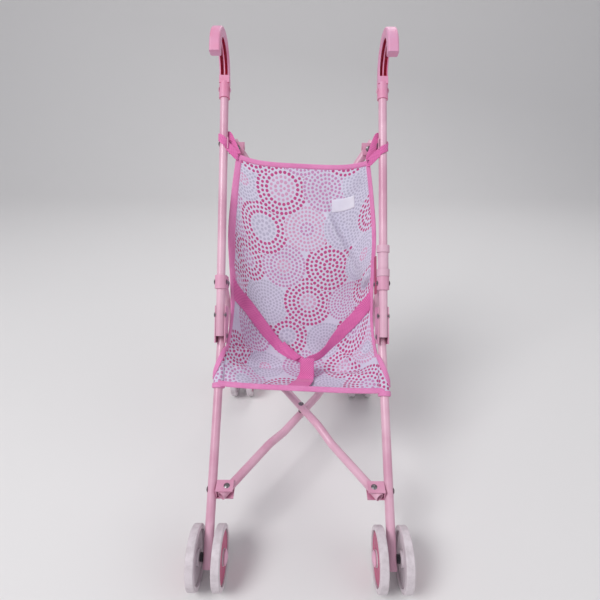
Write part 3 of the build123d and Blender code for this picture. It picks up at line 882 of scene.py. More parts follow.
@dataclass
class SlingShape:
    """The seat's surface: u goes from -1 at its left edge to 1 at its right, v from hem to top.

    The side edges follow the legs and then rise to the top corners. The middle hangs lower and
    further back. Between them the surface eases over with the share 1 - |u| ** fullness.
    Places in the side view are shares of the way from the front hem to the top edge.
    """

    hem: Array
    top: Array
    half: float
    marks: Row = (0.0, 0.07, 0.15, 0.22, 0.31, 0.42, 0.60, 0.80, 1.0)
    edge_half: Row = (0.943, 0.937, 0.931, 0.925, 0.920, 0.917, 0.922, 0.880, 0.822)
    edge_y: Row = (0.007, 0.112, 0.224, 0.372, 0.554, 0.666, 0.770, 0.895, 1.0)
    edge_z: Row = (-0.027, 0.040, 0.106, 0.133, 0.204, 0.368, 0.626, 0.834, 1.016)
    middle_y: Row = (-0.014, 0.119, 0.273, 0.428, 0.582, 0.680, 0.778, 0.880, 0.985)
    middle_z: Row = (-0.027, -0.058, -0.075, -0.084, -0.044, 0.129, 0.421, 0.701, 0.980)
    fullness: float = 4.0
    slip: float = 7.0
    slip_way: tuple[float, float] = (-0.55, -0.83)
    folds: tuple[Fold, ...] = tuple(Fold(*row) for row in (
        ((0.30, 0.85), (0.92, 0.48), 6.5, 0.014), ((0.34, 0.88), (0.96, 0.53), -3.5, 0.018),
        ((0.98, 0.45), (0.55, 0.66), 5.0, 0.014), ((-0.97, 0.15), (-0.45, 0.34), 4.2, 0.014),
        ((-0.98, 0.22), (-0.62, 0.20), 3.2, 0.013), ((-0.90, 0.08), (-0.40, 0.20), 2.6, 0.014),
        ((0.97, 0.14), (0.42, 0.32), 5.0, 0.015), ((0.98, 0.24), (0.50, 0.19), 3.4, 0.013),
        ((0.90, 0.07), (0.45, 0.18), 2.8, 0.014), ((-1.0, 0.13), (0.15, 0.255), -2.6, 0.012),
        ((1.0, 0.13), (-0.15, 0.255), -2.6, 0.012), ((-0.90, 0.98), (-0.35, 0.78), 1.8, 0.03),
        ((0.90, 0.98), (0.35, 0.80), 1.6, 0.03), ((-0.97, 0.46), (-0.55, 0.62), 1.8, 0.028),
        ((0.70, 0.30), (0.35, 0.42), 2.0, 0.03)))
    aspect: float = 0.28
    fade_in: float = 5.0
    fade_out: float = 1.6
    ripple: float = 0.5
    waves: tuple[float, float, float, float] = (5.1, 9.0, -2.2, 13.0)
    side_rim: float = 0.06
    end_rim: float = 0.04

    def smooth(self, u: Array, v: Array) -> Array:
        """The surface before its folds.

        The edge and the middle curves give Y and Z as shares of the way from hem to top. The
        point lies between them by 1 - |u| ** fullness, and X is u times the half width there.

        Args:
            u: places across the cloth.
            v: places up it.

        Returns:
            The points in millimetres, x, y and z last.
        """
        u, v = np.broadcast_arrays(np.asarray(u, float), np.asarray(v, float))
        rows = np.stack([self.edge_half, self.edge_y, self.edge_z, self.middle_y, self.middle_z], -1)
        edge_half, edge_y, edge_z, mid_y, mid_z = np.moveaxis(through(self.marks, rows, v), -1, 0)
        share = 1.0 - abs(u) ** self.fullness
        slip = self.slip * (u + 1.0) / 2.0
        reach = self.top - self.hem
        y = self.hem[1] + reach[1] * (edge_y + (mid_y - edge_y) * share) + slip * self.slip_way[0]
        z = self.hem[2] + reach[2] * (edge_z + (mid_z - edge_z) * share) + slip * self.slip_way[1]
        return np.stack([u * self.half * edge_half, y, z], -1)

    def frame(self, u: Array, v: Array) -> tuple[Array, Array, Array]:
        """The directions of the cloth, from small differences of the surface.

        Args:
            u: places across the cloth.
            v: places up it.

        Returns:
            Unit directions across, up the cloth, and out of its face.
        """
        nudge = 1e-3
        across = self.smooth(u + nudge, v) - self.smooth(u - nudge, v)
        upward = self.smooth(u, np.clip(v + nudge, 0, 1)) - self.smooth(u, np.clip(v - nudge, 0, 1))
        across, upward = unit(across), unit(upward)
        return across, upward, unit(np.cross(across, upward))

    def relief(self, u: Array, v: Array) -> Array:
        """How far the folds lift the cloth, nothing at the sewn edges.

        A fold is a bell-shaped ridge, exp(-(off / width) ** 2), that fades at its ends; `aspect`
        makes a step in u count less than one in v. A slow ripple lies under them all.

        Args:
            u: places across the cloth.
            v: places up it, in the same shape.

        Returns:
            The lift at each place, in millimetres.
        """
        a, b, c, d = self.waves
        lift = self.ripple * np.sin(a * u + b * v) * np.sin(c * u + d * v)
        for fold in self.folds:
            start, end = np.array(fold.start), np.array(fold.end)
            way = end - start
            du, dv = (u - start[0]) * self.aspect, v - start[1]
            wu = way[0] * self.aspect
            reach = math.hypot(wu, way[1])
            run = (du * wu + dv * way[1]) / reach**2
            off = (dv * wu - du * way[1]) / reach
            fade = np.clip(run * self.fade_in, 0, 1) * np.clip((1 - run) * self.fade_out, 0, 1)
            lift = lift + fold.height * np.exp(-(off / fold.width) ** 2) * fade**2 * (3 - 2 * fade)
        sides = np.clip((1 - abs(u)) / self.side_rim, 0, 1)
        ends = np.clip(v / self.end_rim, 0, 1) * np.clip((1 - v) / self.end_rim, 0, 1)
        return lift * sides * ends

    def at(self, u: Array, v: Array, lift: float | Array = 0.0) -> Array:
        """The folded surface: the smooth one raised along its face by the folds' relief.

        Args:
            u: places across the cloth.
            v: places up it.
            lift: how much further it is raised, in millimetres.

        Returns:
            The points in millimetres, x, y and z last.
        """
        u, v = np.broadcast_arrays(np.asarray(u, float), np.asarray(v, float))
        _, _, face = self.frame(u, v)
        return self.smooth(u, v) + face * (self.relief(u, v) + lift)[..., None]


@dataclass
class SewnGroup:
    """What every sewn sub-assembly needs: the sling's shape, the finishes and how it folds."""

    shape: SlingShape
    finishes: dict[str, Material]
    fold_joint: str = "fold"
    travel: float = 100.0
    folded_at: float = 89.8

    def put(self, piece: Piece, finish: str, slot: str, body: str = "right_side",
            folds: bool = True) -> Piece:
        """Dresses a piece, rides it on a body and, where it spans the frame, gives it its own copy of its
        mesh.

        Args:
            piece: the piece.
            finish: the name of its finish.
            slot: not used.
            body: the body it rides on.
            folds: whether it gets its own copy of its mesh.

        Returns:
            The piece.
        """
        dress(piece, self.finishes[finish])
        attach(piece, body)
        if folds:
            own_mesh(piece)
        LOG.info("sewn piece %s on %s", piece.name, body)
        return piece


@dataclass
class Sling(SewnGroup):
    """The printed seat, its bound edges, its hem and its stitching.

    The label spans `label_u` and `label_v` on the sling, with so many points in `label_grid`.
    """

    rows: int = 190
    columns: int = 130
    cloth: float = 0.9
    side_marks: Row = (0.14, 0.32, 0.46, 0.78, 1.0)
    side_widths: dict = by_side((5.0, 5.5, 8.5, 9.0, 7.0), (5.0, 4.5, 5.0, 5.5, 5.0))
    side_lap: float = 1.0
    top_width: float = 6.0
    top_lap: float = 2.0
    hem_width: float = 6.4
    hem_extra: float = 0.6
    hem_up: Point = (0.0, 0.70, 0.71)
    hem_front: Point = (0.0, -0.71, 0.70)
    hem_out: float = 2.0
    hem_bow: float = 3.4
    bow_power: int = 10
    end_reach: float = 0.97
    end_power: int = 40
    tape: float = 2.3
    near_edge: float = 0.995
    side_seam: float = 2.3
    top_seam: float = 3.9
    seam_end: float = 0.96
    seam_sink: float = 0.05
    label_u: tuple[float, float] = (0.43, 0.76)
    label_v: tuple[float, float] = (0.825, 0.875)
    label_grid: tuple[int, int] = (40, 20)
    label_thick: float = 0.35
    label_lift: float = 0.75
    label_swell: float = 0.35
    label_rim: float = 0.03
    label_span: tuple[float, float] = (92.0, 330.0)

    def build(self) -> None:
        """Makes the sling's pieces: its cloth, its bound edges, its stitching and its label."""
        cloth = self.cloth_piece()
        bound = [self.side_binding(side) for side in Side] + [self.top_binding(), self.hem_binding()]
        self.stitching()
        self.label()

    def cloth_piece(self) -> Piece:
        """The printed cloth: a grid in u and v, with a thickness.

        On its flat map, x is the length along a row from the middle and y the length up the
        middle column, both of the cloth before its folds.

        Returns:
            The piece.
        """
        u, v = np.meshgrid(np.linspace(-1, 1, self.columns), np.linspace(0, 1, self.rows))
        plain = self.shape.smooth(u, v)
        middle = self.columns // 2
        rise = run_along(plain, 0, 0)[:, middle, None]
        flat = np.stack(np.broadcast_arrays(run_along(plain, 1, middle), rise), -1)
        piece = cloth_grid("seat_sling", self.shape.at(u, v), flat, self.cloth)
        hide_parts("seat_cloth")
        return self.put(piece, "print", "seat_fabric")

    def edge_run(self, side: Side, count: int = 220) -> tuple[Array, ...]:
        """A side edge from the leg to the top.

        Args:
            side: the edge's side.
            count: how many points.

        Returns:
            Its v, its points, the way into the cloth and how wide the tape is.
        """
        v = np.linspace(self.side_marks[0], 1.0, count)
        u = np.full(count, float(side.value))
        across, _, _ = self.shape.frame(u * self.near_edge, v)
        wide = through(self.side_marks, self.side_widths[side], v)
        return v, self.shape.smooth(u, v), -side.value * across, wide

    def bind(self, name: str, path: Array, across: Array, section: Array,
             widths: Array | None = None) -> Piece:
        """Sweeps a tape along a path and puts it in place."""
        return self.put(swept(name, path, across, section, widths=widths), "tape", "pink_webbing")

    def side_binding(self, side: Side) -> Piece:
        """The tape folded over a side edge; its width varies as it twists.

        Args:
            side: the edge's side.

        Returns:
            The piece.
        """
        _, path, inward, wide = self.edge_run(side)
        path = path + inward * (wide * 0.5 - self.side_lap)[:, None]
        return self.bind(f"side_binding_{side.word}", path, inward, rounded_section(1.0, self.tape), wide)

    def top_binding(self) -> Piece:
        """The tape over the top edge, which sags a little between the corners.

        Returns:
            The piece.
        """
        u = np.linspace(-1.0, 1.0, 160)
        v = np.ones_like(u)
        _, upward, _ = self.shape.frame(u, v * self.near_edge)
        path = self.shape.smooth(u, v) - upward * self.top_lap
        return self.bind("top_binding", path, upward, rounded_section(self.top_width, self.tape))

    def hem_binding(self) -> Piece:
        """The rolled front hem from leg to leg; its tape stands square to the legs' fronts.

        It stands out by hem_out + hem_bow * |u| ** bow_power, so it bows forward at the legs, and
        its width shrinks to its ends by the root of 1 - (end_reach * |u|) ** end_power.

        Returns:
            The piece.
        """
        u = np.linspace(-1.0, 1.0, 160)
        path = self.shape.smooth(u, np.zeros_like(u))
        path[:, 0] = u * self.shape.half
        path += np.array(self.hem_front) * (self.hem_out + self.hem_bow * abs(u) ** self.bow_power)[:, None]
        section = rounded_section(self.hem_width, self.tape + self.hem_extra)
        rounding = np.sqrt(1.0 - (self.end_reach * abs(u)) ** self.end_power)
        return self.bind("hem_binding", path, np.broadcast_to(self.hem_up, path.shape), section, rounding)

    def stitching(self) -> None:
        """A run of short stitches along the inner edge of each side tape and the top tape."""
        seams = []
        out = self.tape / 2 - self.seam_sink
        for side in Side:
            v, path, inward, wide = self.edge_run(side, 1200)
            _, _, face = self.shape.frame(np.full(len(v), side.value * self.near_edge), v)
            seams.append(path + inward * (wide - self.side_seam)[:, None] + face * out)
        u = np.linspace(-self.seam_end, self.seam_end, 900)
        _, upward, face = self.shape.frame(u, np.full_like(u, self.near_edge))
        seams.append(self.shape.smooth(u, np.ones_like(u)) - upward * self.top_seam + face * out)
        self.put(stitches("seat_stitching", seams), "thread", "pink_webbing")

    def label(self) -> None:
        """The plain satin label below the top edge on the right, with turned-under ends."""
        grids = (np.linspace(*span, count) for span, count in
                 zip((self.label_u, self.label_v), self.label_grid))
        u, v = np.meshgrid(*grids)
        edge = np.minimum.reduce([u - u.min(), u.max() - u, (v - v.min()) * 5, (v.max() - v) * 5])
        lift = self.label_lift + self.label_swell * np.clip(edge / self.label_rim, 0, 1)
        flat = np.stack([u, v], -1) * self.label_span
        piece = cloth_grid("plain_label", self.shape.at(u, v, lift), flat, self.label_thick, -1.0)
        self.put(piece, "satin", "seat_fabric")


def stitches(name: str, seams: Sequence[Array], length: float = 2.2, pitch: float = 3.4,
             radius: float = 0.32, rings: int = 5, sides: int = 6) -> Piece:
    """Short rounded stitches along seams.

    Each stitch is a small spindle: rings of points whose radius follows a half circle's rise and
    fall, laid along the seam's direction.

    Args:
        name: the piece's name.
        seams: dense runs of points, one for each seam.
        length: a stitch's length.
        pitch: from one stitch to the next.
        radius: a stitch's radius.
        rings: how many rings make a stitch.
        sides: how many points make a ring.

    Returns:
        The object.
    """
    t = np.linspace(-1, 1, rings)
    swell = np.sqrt(np.clip(1 - (t * 0.96) ** 2, 0.05, 1)) * radius
    turn = np.linspace(0, 2 * math.pi, sides, endpoint=False)
    local = np.stack([np.repeat(t * length / 2, sides), (swell[:, None] * np.cos(turn)).ravel(),
                      (swell[:, None] * np.sin(turn)).ravel()], -1)
    askew = (0.31, 0.52, 0.79)  # a direction that no seam runs in
    blocks = []
    for seam in seams:
        run = np.concatenate([[0.0], np.cumsum(np.linalg.norm(np.diff(seam, axis=0), axis=1))])
        middles = np.arange(pitch, run[-1] - pitch, pitch)
        at, ahead = (np.stack([np.interp(place, run, seam[:, axis]) for axis in range(3)], -1)
                     for place in (middles, middles + 0.5))
        along = unit(ahead - at)
        side = unit(np.cross(along, askew))
        third = np.cross(along, side)
        blocks.append(at[:, None] + along[:, None] * local[None, :, :1]
                      + side[:, None] * local[None, :, 1:2] + third[:, None] * local[None, :, 2:])
    points = np.concatenate(blocks)
    shift = np.arange(len(points))[:, None, None] * points.shape[1]
    cap = np.arange(sides)
    caps = np.stack([cap[::-1], cap + (rings - 1) * sides])
    quads = grid_faces(rings, sides, close_columns=True)
    faces = (quads + shift).reshape(-1, 4).tolist() + (caps + shift).reshape(-1, sides).tolist()
    return new_object(name, points.reshape(-1, 3), faces)


@dataclass
class LegSleeves(SewnGroup):
    """The sling's front corners: a slanted sleeve round each front leg, with bound rims.

    Heights run up the leg from its axle, which lies `axle_up` above the leg's low end.
    """

    legs: dict[Side, TubeLine] = field(default_factory=dict)
    axle_up: float = 0.0
    tube_r: float = 5.0
    low: float = 178.0
    middle: float = 205.0
    slant: float = 17.0
    drop: dict = by_side(0.0, 8.0)
    cloth: float = 0.7
    cloth_out: float = 0.9
    rim_out: float = 1.5
    rim_size: tuple[float, float] = (6.0, 2.0)
    flat_r: float = 6.0
    flat_side: float = 92.0
    rows: int = 26
    columns: int = 64

    def ring(self, side: Side, turn: Array, up: Array, out: float) -> Array:
        """Points on a circle round a leg's centre line.

        Args:
            side: the leg.
            turn: angles in radians, 0 on its inner side and a quarter turn at its front.
            up: heights along the leg.
            out: how far outside the tube.

        Returns:
            The points, x, y and z last.
        """
        leg = self.legs[side]
        up = up - self.drop[side] + self.axle_up
        radius = self.tube_r + out
        return leg.at(up, radius * np.sin(turn), -side.value * radius * np.cos(turn))

    def build(self) -> None:
        """Makes both sleeves with their rims."""
        for side in Side:
            turn = np.linspace(0, 2 * math.pi, self.columns, endpoint=False)
            top = self.middle + self.slant * np.cos(turn)
            up = self.low + (top - self.low)[None, :] * np.linspace(0, 1, self.rows)[:, None]
            points = self.ring(side, np.broadcast_to(turn, up.shape), up, self.cloth_out)
            around = turn * self.flat_r + side.value * self.flat_side
            flat = np.stack(np.broadcast_arrays(around, up - self.low), -1)
            sleeve = cloth_grid(f"leg_sleeve_{side.word}", points, flat, self.cloth, ring=True)
            rims = [self.rim(side, "upper", turn, top),
                    self.rim(side, "lower", turn, np.full_like(turn, self.low))]
            self.put(sleeve, "print", "seat_fabric", side.body, folds=False)

    def rim(self, side: Side, word: str, turn: Array, up: Array) -> Piece:
        """A closed ring of tape on a sleeve's rim.

        Args:
            side: the leg.
            word: upper or lower.
            turn: the angles round the leg.
            up: the rim's height at each.

        Returns:
            The piece.
        """
        path = self.ring(side, turn, up, self.rim_out)
        across = np.broadcast_to(self.legs[side].along, path.shape)
        piece = swept(f"sleeve_rim_{word}_{side.word}", path, across,
                      rounded_section(*self.rim_size, count=16), closed=True)
        return self.put(piece, "tape", "pink_webbing", side.body, folds=False)


@dataclass
class TopLoops(SewnGroup):
    """Webbing loops that hang the seat's top corners over the top brackets.

    `turns` are half turns round the tube, 0 at its front, and `rises` the heights there. The
    loop starts `front_shift` from a corner of the sling and ends `back_shift` behind that.
    """

    tubes: dict[Side, TubeLine] = field(default_factory=dict)
    tube_r: float = 5.0
    gap: float = 0.3
    width: float = 9.0
    thick: float = 1.3
    square: float = 5.0
    turns: Row = (-0.35, 0.2, 0.6, 1.0, 1.35)
    rises: dict = by_side((229.0, 238.0, 241.0, 243.0, 246.0), (222.0, 227.0, 231.0, 240.0, 246.0))
    corner: tuple[float, float] = (0.97, 0.985)
    front_shift: Point = (0.0, -2.2, 0.6)
    back_shift: Point = (0.0, 2.4, -0.4)
    smoothing: int = 5

    def build(self) -> None:
        """Makes a loop for each side."""
        for side in Side:
            self.loop(side)

    def loop(self, side: Side) -> None:
        """A closed ring: from the corner up to the tube, round it, and back over the bracket.

        Each point of the path is then the mean of itself and its neighbours, `smoothing` in all.

        Args:
            side: the loop's side.
        """
        tube, hand = self.tubes[side], side.value
        reach = self.tube_r + self.gap + self.thick / 2
        turn = np.linspace(self.turns[0], self.turns[-1], 40) * math.pi
        up = through(np.array(self.turns) * math.pi, self.rises[side], turn)
        round_it = tube.at(up, reach * np.cos(turn), hand * reach * np.sin(turn))
        u, v = self.corner
        corner = self.shape.smooth(np.array([hand * u]), np.array([v]))[0] + np.array(self.front_shift)
        t = np.linspace(0, 1, 18)[:, None]
        down = corner + (round_it[0] - corner) * t
        over = round_it[-1] + (corner + np.array(self.back_shift) - round_it[-1]) * t
        path = np.concatenate([down[:-1], round_it, over[1:]])
        spare = self.smoothing // 2
        padded = np.concatenate([path[-spare:], path, path[:spare]])
        kernel = np.ones(self.smoothing) / self.smoothing
        path = np.stack([np.convolve(padded[:, axis], kernel, "valid") for axis in range(3)], -1)
        section = rounded_section(self.width, self.thick, self.square, 18)
        piece = swept(f"hanging_loop_{side.word}", path, np.broadcast_to(tube.along, path.shape), section,
                      closed=True)
        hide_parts(f"top_loop_{side.word}")
        self.put(piece, "webbing", "pink_webbing", side.body, folds=False)


@dataclass
class Harness(SewnGroup):
    """Two waist straps that meet in the loop of the crotch strap.

    A waist strap runs through places on the sling, `across_u` and `up_v`, at its `marks`, raised
    by `lifts`. The crotch strap rises `crotch_above` the cloth's line, `crotch_along` it.
    """

    width: float = 15.5
    thick: float = 1.4
    marks: Row = (0.0, 0.17, 0.34, 0.50, 0.68, 0.83, 0.93, 1.0)
    across_u: dict = by_side(
        (-0.985, -0.815, -0.69, -0.545, -0.38, -0.23, -0.10, 0.02),
        (0.985, 0.90, 0.785, 0.645, 0.50, 0.37, 0.23, 0.09))
    up_v: dict = by_side(
        (0.405, 0.411, 0.399, 0.372, 0.334, 0.294, 0.262, 0.235),
        (0.384, 0.390, 0.389, 0.379, 0.352, 0.315, 0.270, 0.240))
    widths: Row = (1.0, 1.0, 1.0, 1.0, 0.9, 0.74, 0.62, 0.55)
    twists: dict = by_side(
        (0.0, 0.0, 0.0, 0.05, 0.2, 0.5, 0.8, 0.9),
        (0.0, 0.0, 0.0, -0.05, -0.3, -0.8, -1.0, -1.1))
    lifts: Row = (0.7, 1.5, 1.7, 1.9, 2.5, 3.8, 5.0, 6.5)
    cut_fade: float = 0.30
    square: float = 5.0
    tab_width: float = 10.5
    tab_marks: Row = (0.0, 0.5, 1.0)
    tab_u: Row = (-0.30, -0.17, -0.05)
    tab_v: Row = (0.335, 0.290, 0.235)
    tab_lift: tuple[Row, Row] = ((0.0, 0.4, 1.0), (4.2, 6.6, 9.0))
    crotch_width: float = 18.0
    crotch_u: float = -0.01
    crotch_v: tuple[float, float] = (0.0, 0.12)
    crotch_marks: Row = (0.0, 0.2, 0.36, 0.5, 0.62, 0.74, 0.88, 1.0)
    crotch_along: Row = (2.2, 15.0, 28.0, 31.5, 34.5, 38.5, 39.5, 30.5)
    crotch_above: Row = (1.2, 1.6, 2.0, 12.5, 23.0, 22.5, 11.0, 3.8)
    crotch_side: tuple[Row, Row] = ((0.0, 0.36, 1.0), (-4.2, 6.2, 8.0))
    crotch_wide: tuple[Row, Row] = ((0.0, 0.3, 0.42, 1.0), (1.3, 1.2, 1.0, 1.0))

    def build(self) -> None:
        """Makes both waist straps, the left one's tab and the crotch strap."""
        for side in Side:
            self.strap(side)
        self.tab()
        self.crotch_strap()

    def strap(self, side: Side) -> None:
        """A flat strap on the back panel, from the side seam down to the crotch loop.

        Its sewn end is cut along the side seam, so the section leans there by the seam's slope.

        Args:
            side: the side it comes from.
        """
        t = np.linspace(0, 1, 120)
        u = through(self.marks, self.across_u[side], t)
        v = through(self.marks, self.up_v[side], t)
        path = self.shape.at(u, v, through(self.marks, self.lifts, t))
        _, _, face = self.shape.frame(u, v)
        along = unit(np.gradient(path, axis=0))
        across = np.cross(face, along)
        _, seam, _ = self.shape.frame(u[:1], v[:1])
        cut = float(seam[0] @ along[0]) / float(seam[0] @ across[0])
        piece = swept(f"waist_strap_{side.word}", path, across,
                      rounded_section(self.width, self.thick, self.square),
                      widths=through(self.marks, self.widths, t),
                      twist=through(self.marks, self.twists[side], t),
                      lean=cut * np.clip(1.0 - t / self.cut_fade, 0.0, 1.0))
        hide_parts(f"harness_strap_{side.word}")
        self.put(piece, "webbing", "pink_webbing")

    def tab(self) -> None:
        """The left strap's sewn-back end, which lies across the strap beside the crotch loop."""
        t = np.linspace(0, 1, 40)
        u = through(self.tab_marks, self.tab_u, t)
        v = through(self.tab_marks, self.tab_v, t)
        path = self.shape.at(u, v, through(*self.tab_lift, t))
        _, _, face = self.shape.frame(u, v)
        across = np.cross(face, unit(np.gradient(path, axis=0)))
        section = rounded_section(self.tab_width, self.thick, self.square)
        piece = swept("strap_tab", path, across, section)
        self.put(piece, "webbing", "pink_webbing")

    def crotch_strap(self) -> None:
        """One strap, sewn into the front hem, that runs back and turns up and over into a loop."""
        t = np.linspace(0, 1, 140)
        base = self.shape.at(self.crotch_u, np.array(self.crotch_v))
        way = unit((base[1] - base[0])[None])[0]
        face = np.cross([1.0, 0.0, 0.0], way)
        along = through(self.crotch_marks, self.crotch_along, t)[:, None]
        above = through(self.crotch_marks, self.crotch_above, t)[:, None]
        path = base[0] + along * way + above * face
        path[:, 0] += through(*self.crotch_side, t)
        across = np.broadcast_to([1.0, 0.0, 0.0], path.shape)
        section = rounded_section(self.crotch_width, self.thick, self.square)
        piece = swept("crotch_webbing", path, across, section, widths=through(*self.crotch_wide, t))
        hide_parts("crotch_strap")
        self.put(piece, "webbing", "pink_webbing")


# --- hard parts ------------------------------------------------------------------------------
@dataclass
class WheelDiscs:
    """The pink discs let into each wheel's face, on the side away from its leg."""

    finish: Material
    radius: float = 26.2
    hub: float = 8.9
    thick: float = 1.1

    def build(self) -> None:
        """Makes one disc for each wheel."""
        for end in ("front", "rear"):
            for side in Side:
                self.disc(f"{end}_wheel_{side.word}_outer", side.value)
                self.disc(f"{end}_wheel_{side.word}_inner", -side.value)

    def disc(self, wheel: str, hand: int) -> None:
        """A shallow dish with a raised ring, seated against the wheel's web.

        Args:
            wheel: the wheel's node.
            hand: the way along X that its open face looks.
        """
        low, high = (np.array(corner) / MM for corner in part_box(wheel))
        middle = (low + high) / 2
        face = high[0] if hand > 0 else low[0]
        r, h, w = self.radius, self.hub, self.thick
        outline = np.array([(-2.3, 0.0), (-2.3, r - 0.6), (-2.1, r), (-1.7, r), (-1.3, r - 0.5),
                            (-1.3, r - 2.4), (-1.7, r - 3.2), (-2.3 + w, r * 0.62), (-0.9, r * 0.52),
                            (-0.9, r * 0.44), (-1.5, h + 1.4), (-1.5, h), (-1.7, 0.0)])
        outline[:, 0] *= hand
        piece = lathe(f"{wheel}_disc", outline, (face, middle[1], middle[2]))
        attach(dress(piece, self.finish), wheel)
        LOG.info("disc on %s", wheel)


@dataclass
class HardFinishes:
    """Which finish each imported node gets: that of the first row with a start of its name."""

    finishes: dict[str, Material]
    starts: dict = field(default_factory=lambda: {
        "knob": ("handle_pin", "axle_caps"),
        "enamel": ("push_tube", "front_leg", "rear_leg", "lower_brace", "back_brace"),
        "handle": ("handle",),
        "bracket": ("leg_channel", "collar", "top_bracket", "lower_bracket", "lower_guide", "back_guide"),
        "spool": ("lock_spool",),
        "wing": ("lock_wing",),
        "steel": ("frame_rivets", "brace_rivets", "lower_pin", "back_pin", "front_axle", "rear_axle"),
        "wheel": ("front_wheel", "rear_wheel"),
        "spacer": ("wheel_spacers",)})

    def build(self, nodes: dict[str, Piece]) -> int:
        """Dresses every shown node.

        Args:
            nodes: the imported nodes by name.

        Returns:
            How many were dressed.
        """
        done = 0
        for name, node in nodes.items():
            finish = next((f for f, starts in self.starts.items() if name.startswith(starts)), None)
            if finish is not None:
                dress(node, self.finishes[finish])
                done += 1
        return done


# --- studio ----------------------------------------------------------------------------------
@dataclass
class Studio:
    """The floor, the lights, the pale surroundings and the camera."""

    camera_at: Point = (-0.00097, -0.45224, 0.48915)
    pitch: float = 27.27
    yaw: float = -0.155
    roll: float = 0.395
    lens: float = 27.03
    sensor: float = 36.0
    pale: Colour = srgb("E4E2E2")
    shade: Colour = srgb("D8D6D6")
    sky: Colour = srgb("F0F2F8")
    sky_power: float = 0.42

    def build(self) -> None:
        """Makes everything that isn't the object."""
        self.floor()
        self.lights()
        self.surroundings()
        self.camera()

    def floor(self) -> None:
        """A floor that sweeps up behind the object into a wall: a quarter circle between them."""
        reach, turn_r, wall_at = 12000.0, 900.0, 1400.0
        turn = np.linspace(0, math.pi / 2, 24)
        y = np.concatenate([[-reach], wall_at + turn_r * np.sin(turn), [wall_at + turn_r]])
        z = np.concatenate([[0.0], turn_r * (1 - np.cos(turn)), [reach]])
        x = np.array([-reach, reach])
        points = np.stack(np.broadcast_arrays(x[None, :], y[:, None], z[:, None]), -1)
        floor = new_object("floor", points.reshape(-1, 3), grid_faces(len(y), 2).tolist())
        g = Graph("floor_paint")
        cloud = g.noise(g.place(), 3.0, 2.0)
        colour = g.blend_colour(cloud * 0.15, self.pale, self.shade)
        dress(floor, g.finish(Base_Color=colour, Roughness=0.9))

    def lights(self) -> None:
        """A broad lamp above the front, a softer one at the right, and one behind, above."""
        for name, place, target, size, power in (
                ("key", (-1.2, -1.1, 1.9), (0.0, 0.0, 0.25), 1.0, 34.0),
                ("side", (1.5, -0.7, 1.2), (0.0, 0.0, 0.25), 1.4, 6.0),
                ("rim", (0.3, 1.2, 1.5), (0.0, 0.0, 0.3), 1.0, 7.0)):
            lamp = bpy.data.lights.new(name, "AREA")
            lamp.size = size
            lamp.energy = power
            holder = bpy.data.objects.new(name, lamp)
            holder.location = place
            away = Vector(target) - Vector(place)
            holder.rotation_euler = away.to_track_quat("-Z", "Y").to_euler()
            bpy.context.scene.collection.objects.link(holder)

    def surroundings(self) -> None:
        """Even pale light from all round."""
        world = bpy.data.worlds.new("studio")
        bpy.context.scene.world = world
        world.use_nodes = True
        sky = world.node_tree.nodes["Background"]
        sky.inputs["Color"].default_value = (*self.sky, 1.0)
        sky.inputs["Strength"].default_value = self.sky_power

    def camera(self) -> None:
        """The camera, turned by its pitch down, its yaw and its roll."""
        pitch, yaw, roll = (math.radians(a) for a in (self.pitch, self.yaw, self.roll))
        level = math.cos(pitch)
        ahead = Vector((math.sin(yaw) * level, math.cos(yaw) * level, -math.sin(pitch)))
        right = Vector((math.cos(yaw), -math.sin(yaw), 0.0))
        above = right.cross(ahead)
        x = right * math.cos(roll) + above * math.sin(roll)
        y = above * math.cos(roll) - right * math.sin(roll)
        data = bpy.data.cameras.new("camera")
        data.lens = self.lens
        data.sensor_width = self.sensor
        data.clip_start = 0.01
        holder = bpy.data.objects.new("camera", data)
        turn = Matrix((x, y, -ahead)).transposed().to_4x4()
        holder.matrix_world = Matrix.Translation(self.camera_at) @ turn
        bpy.context.scene.collection.objects.link(holder)
        bpy.context.scene.camera = holder
        bpy.context.scene.view_settings.view_transform = "Standard"


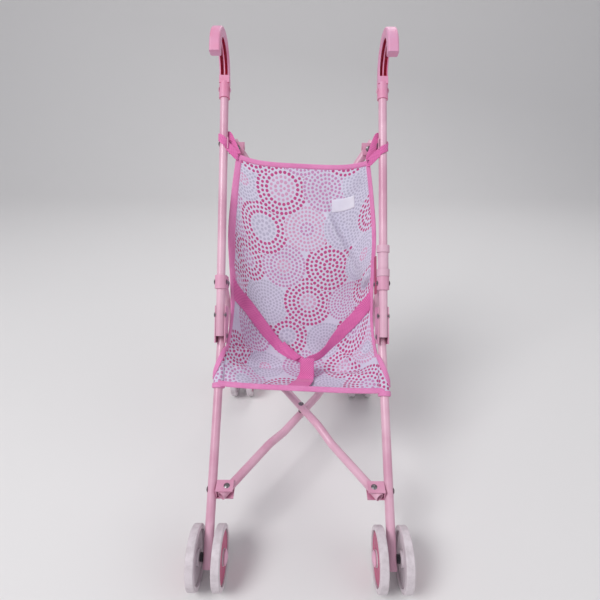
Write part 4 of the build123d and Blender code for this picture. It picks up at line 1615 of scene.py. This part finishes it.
def make_finishes() -> dict[str, Material]:
    """Makes every finish on the stroller.

    Returns:
        The materials by the names that the classes use.
    """
    mouldings = {
        # Third in each row is the colour of the flow marks and of the painted shade in corners. The
        # handle's deep red one, with its large share and reach, paints the shade in the hooks' hollows.
        "handle": ("handle_plastic", "DDA0C0", "E03468", 0.36, 0.95, 0.014),
        "bracket": ("bracket_pink", "E0A2BE", "A85A78"),
        "spool": ("spool_plastic", "E3B7CB", "B07A92"),
        "wing": ("wing_red", "B9486F", "6E1F38"),
        "knob": ("pink_plastic", "E8B4CC", "B5738F"),
        "disc": ("disc_pink", "C85C83", "7C3450"),
        "spacer": ("black_plastic", "2B2730", "15121A"),
        "thread": ("pink_thread", "E48ABB", "B5528A", 0.7),
        "satin": ("label_satin", "EEEAF6", "C2BBD6", 0.45),
    }
    plain = {key: Moulding(name, srgb(colour), srgb(flow_and_shade), *rest)
             for key, (name, colour, flow_and_shade, *rest) in mouldings.items()}
    others = {
        "enamel": Enamel(), "wheel": WheelPlastic(), "steel": Steel(), "print": DottedCloth(),
        "webbing": Webbing("pink_webbing", srgb("F083BE"), srgb("C64C94")),
        "tape": Webbing("pink_tape", srgb("F3A0D0"), srgb("D36CA8"), 0.0014, 0.2),
    }
    return {key: finish.make() for key, finish in (plain | others).items()}


@dataclass(frozen=True)
class Hang:
    """Where the sling hangs on the frame, in millimetres along and in front of its tubes."""

    axle_up: float = 11.0
    hem_up: float = 184.0
    hem_front: float = 6.0
    top_up: float = 216.0


def main() -> None:
    """Builds the stroller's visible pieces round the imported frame, then the studio."""
    logging.basicConfig(level=logging.INFO, format="%(message)s")
    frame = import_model()
    nodes = frame["nodes"]
    finishes = make_finishes()
    LOG.info("%d packed nodes dressed", HardFinishes(finishes).build(nodes))
    WheelDiscs(finishes["disc"]).build()
    legs = {side: TubeLine.of(nodes[f"front_leg_{side.word}"]) for side in Side}
    tubes = {side: TubeLine.of(nodes[f"push_tube_{side.word}"]) for side in Side}
    hang = Hang()
    half_track = float(tubes[Side.RIGHT].start[0])
    side_view = np.array([0.0, 1.0, 1.0])
    hem = legs[Side.LEFT].at(hang.axle_up + hang.hem_up, hang.hem_front) * side_view
    top = tubes[Side.LEFT].at(hang.top_up) * side_view
    shape = SlingShape(hem, top, half_track)
    Sling(shape, finishes).build()
    LegSleeves(shape, finishes, legs=legs, axle_up=hang.axle_up).build()
    TopLoops(shape, finishes, tubes=tubes).build()
    Harness(shape, finishes).build()
    Studio().build()


if __name__ == "__main__":
    main()
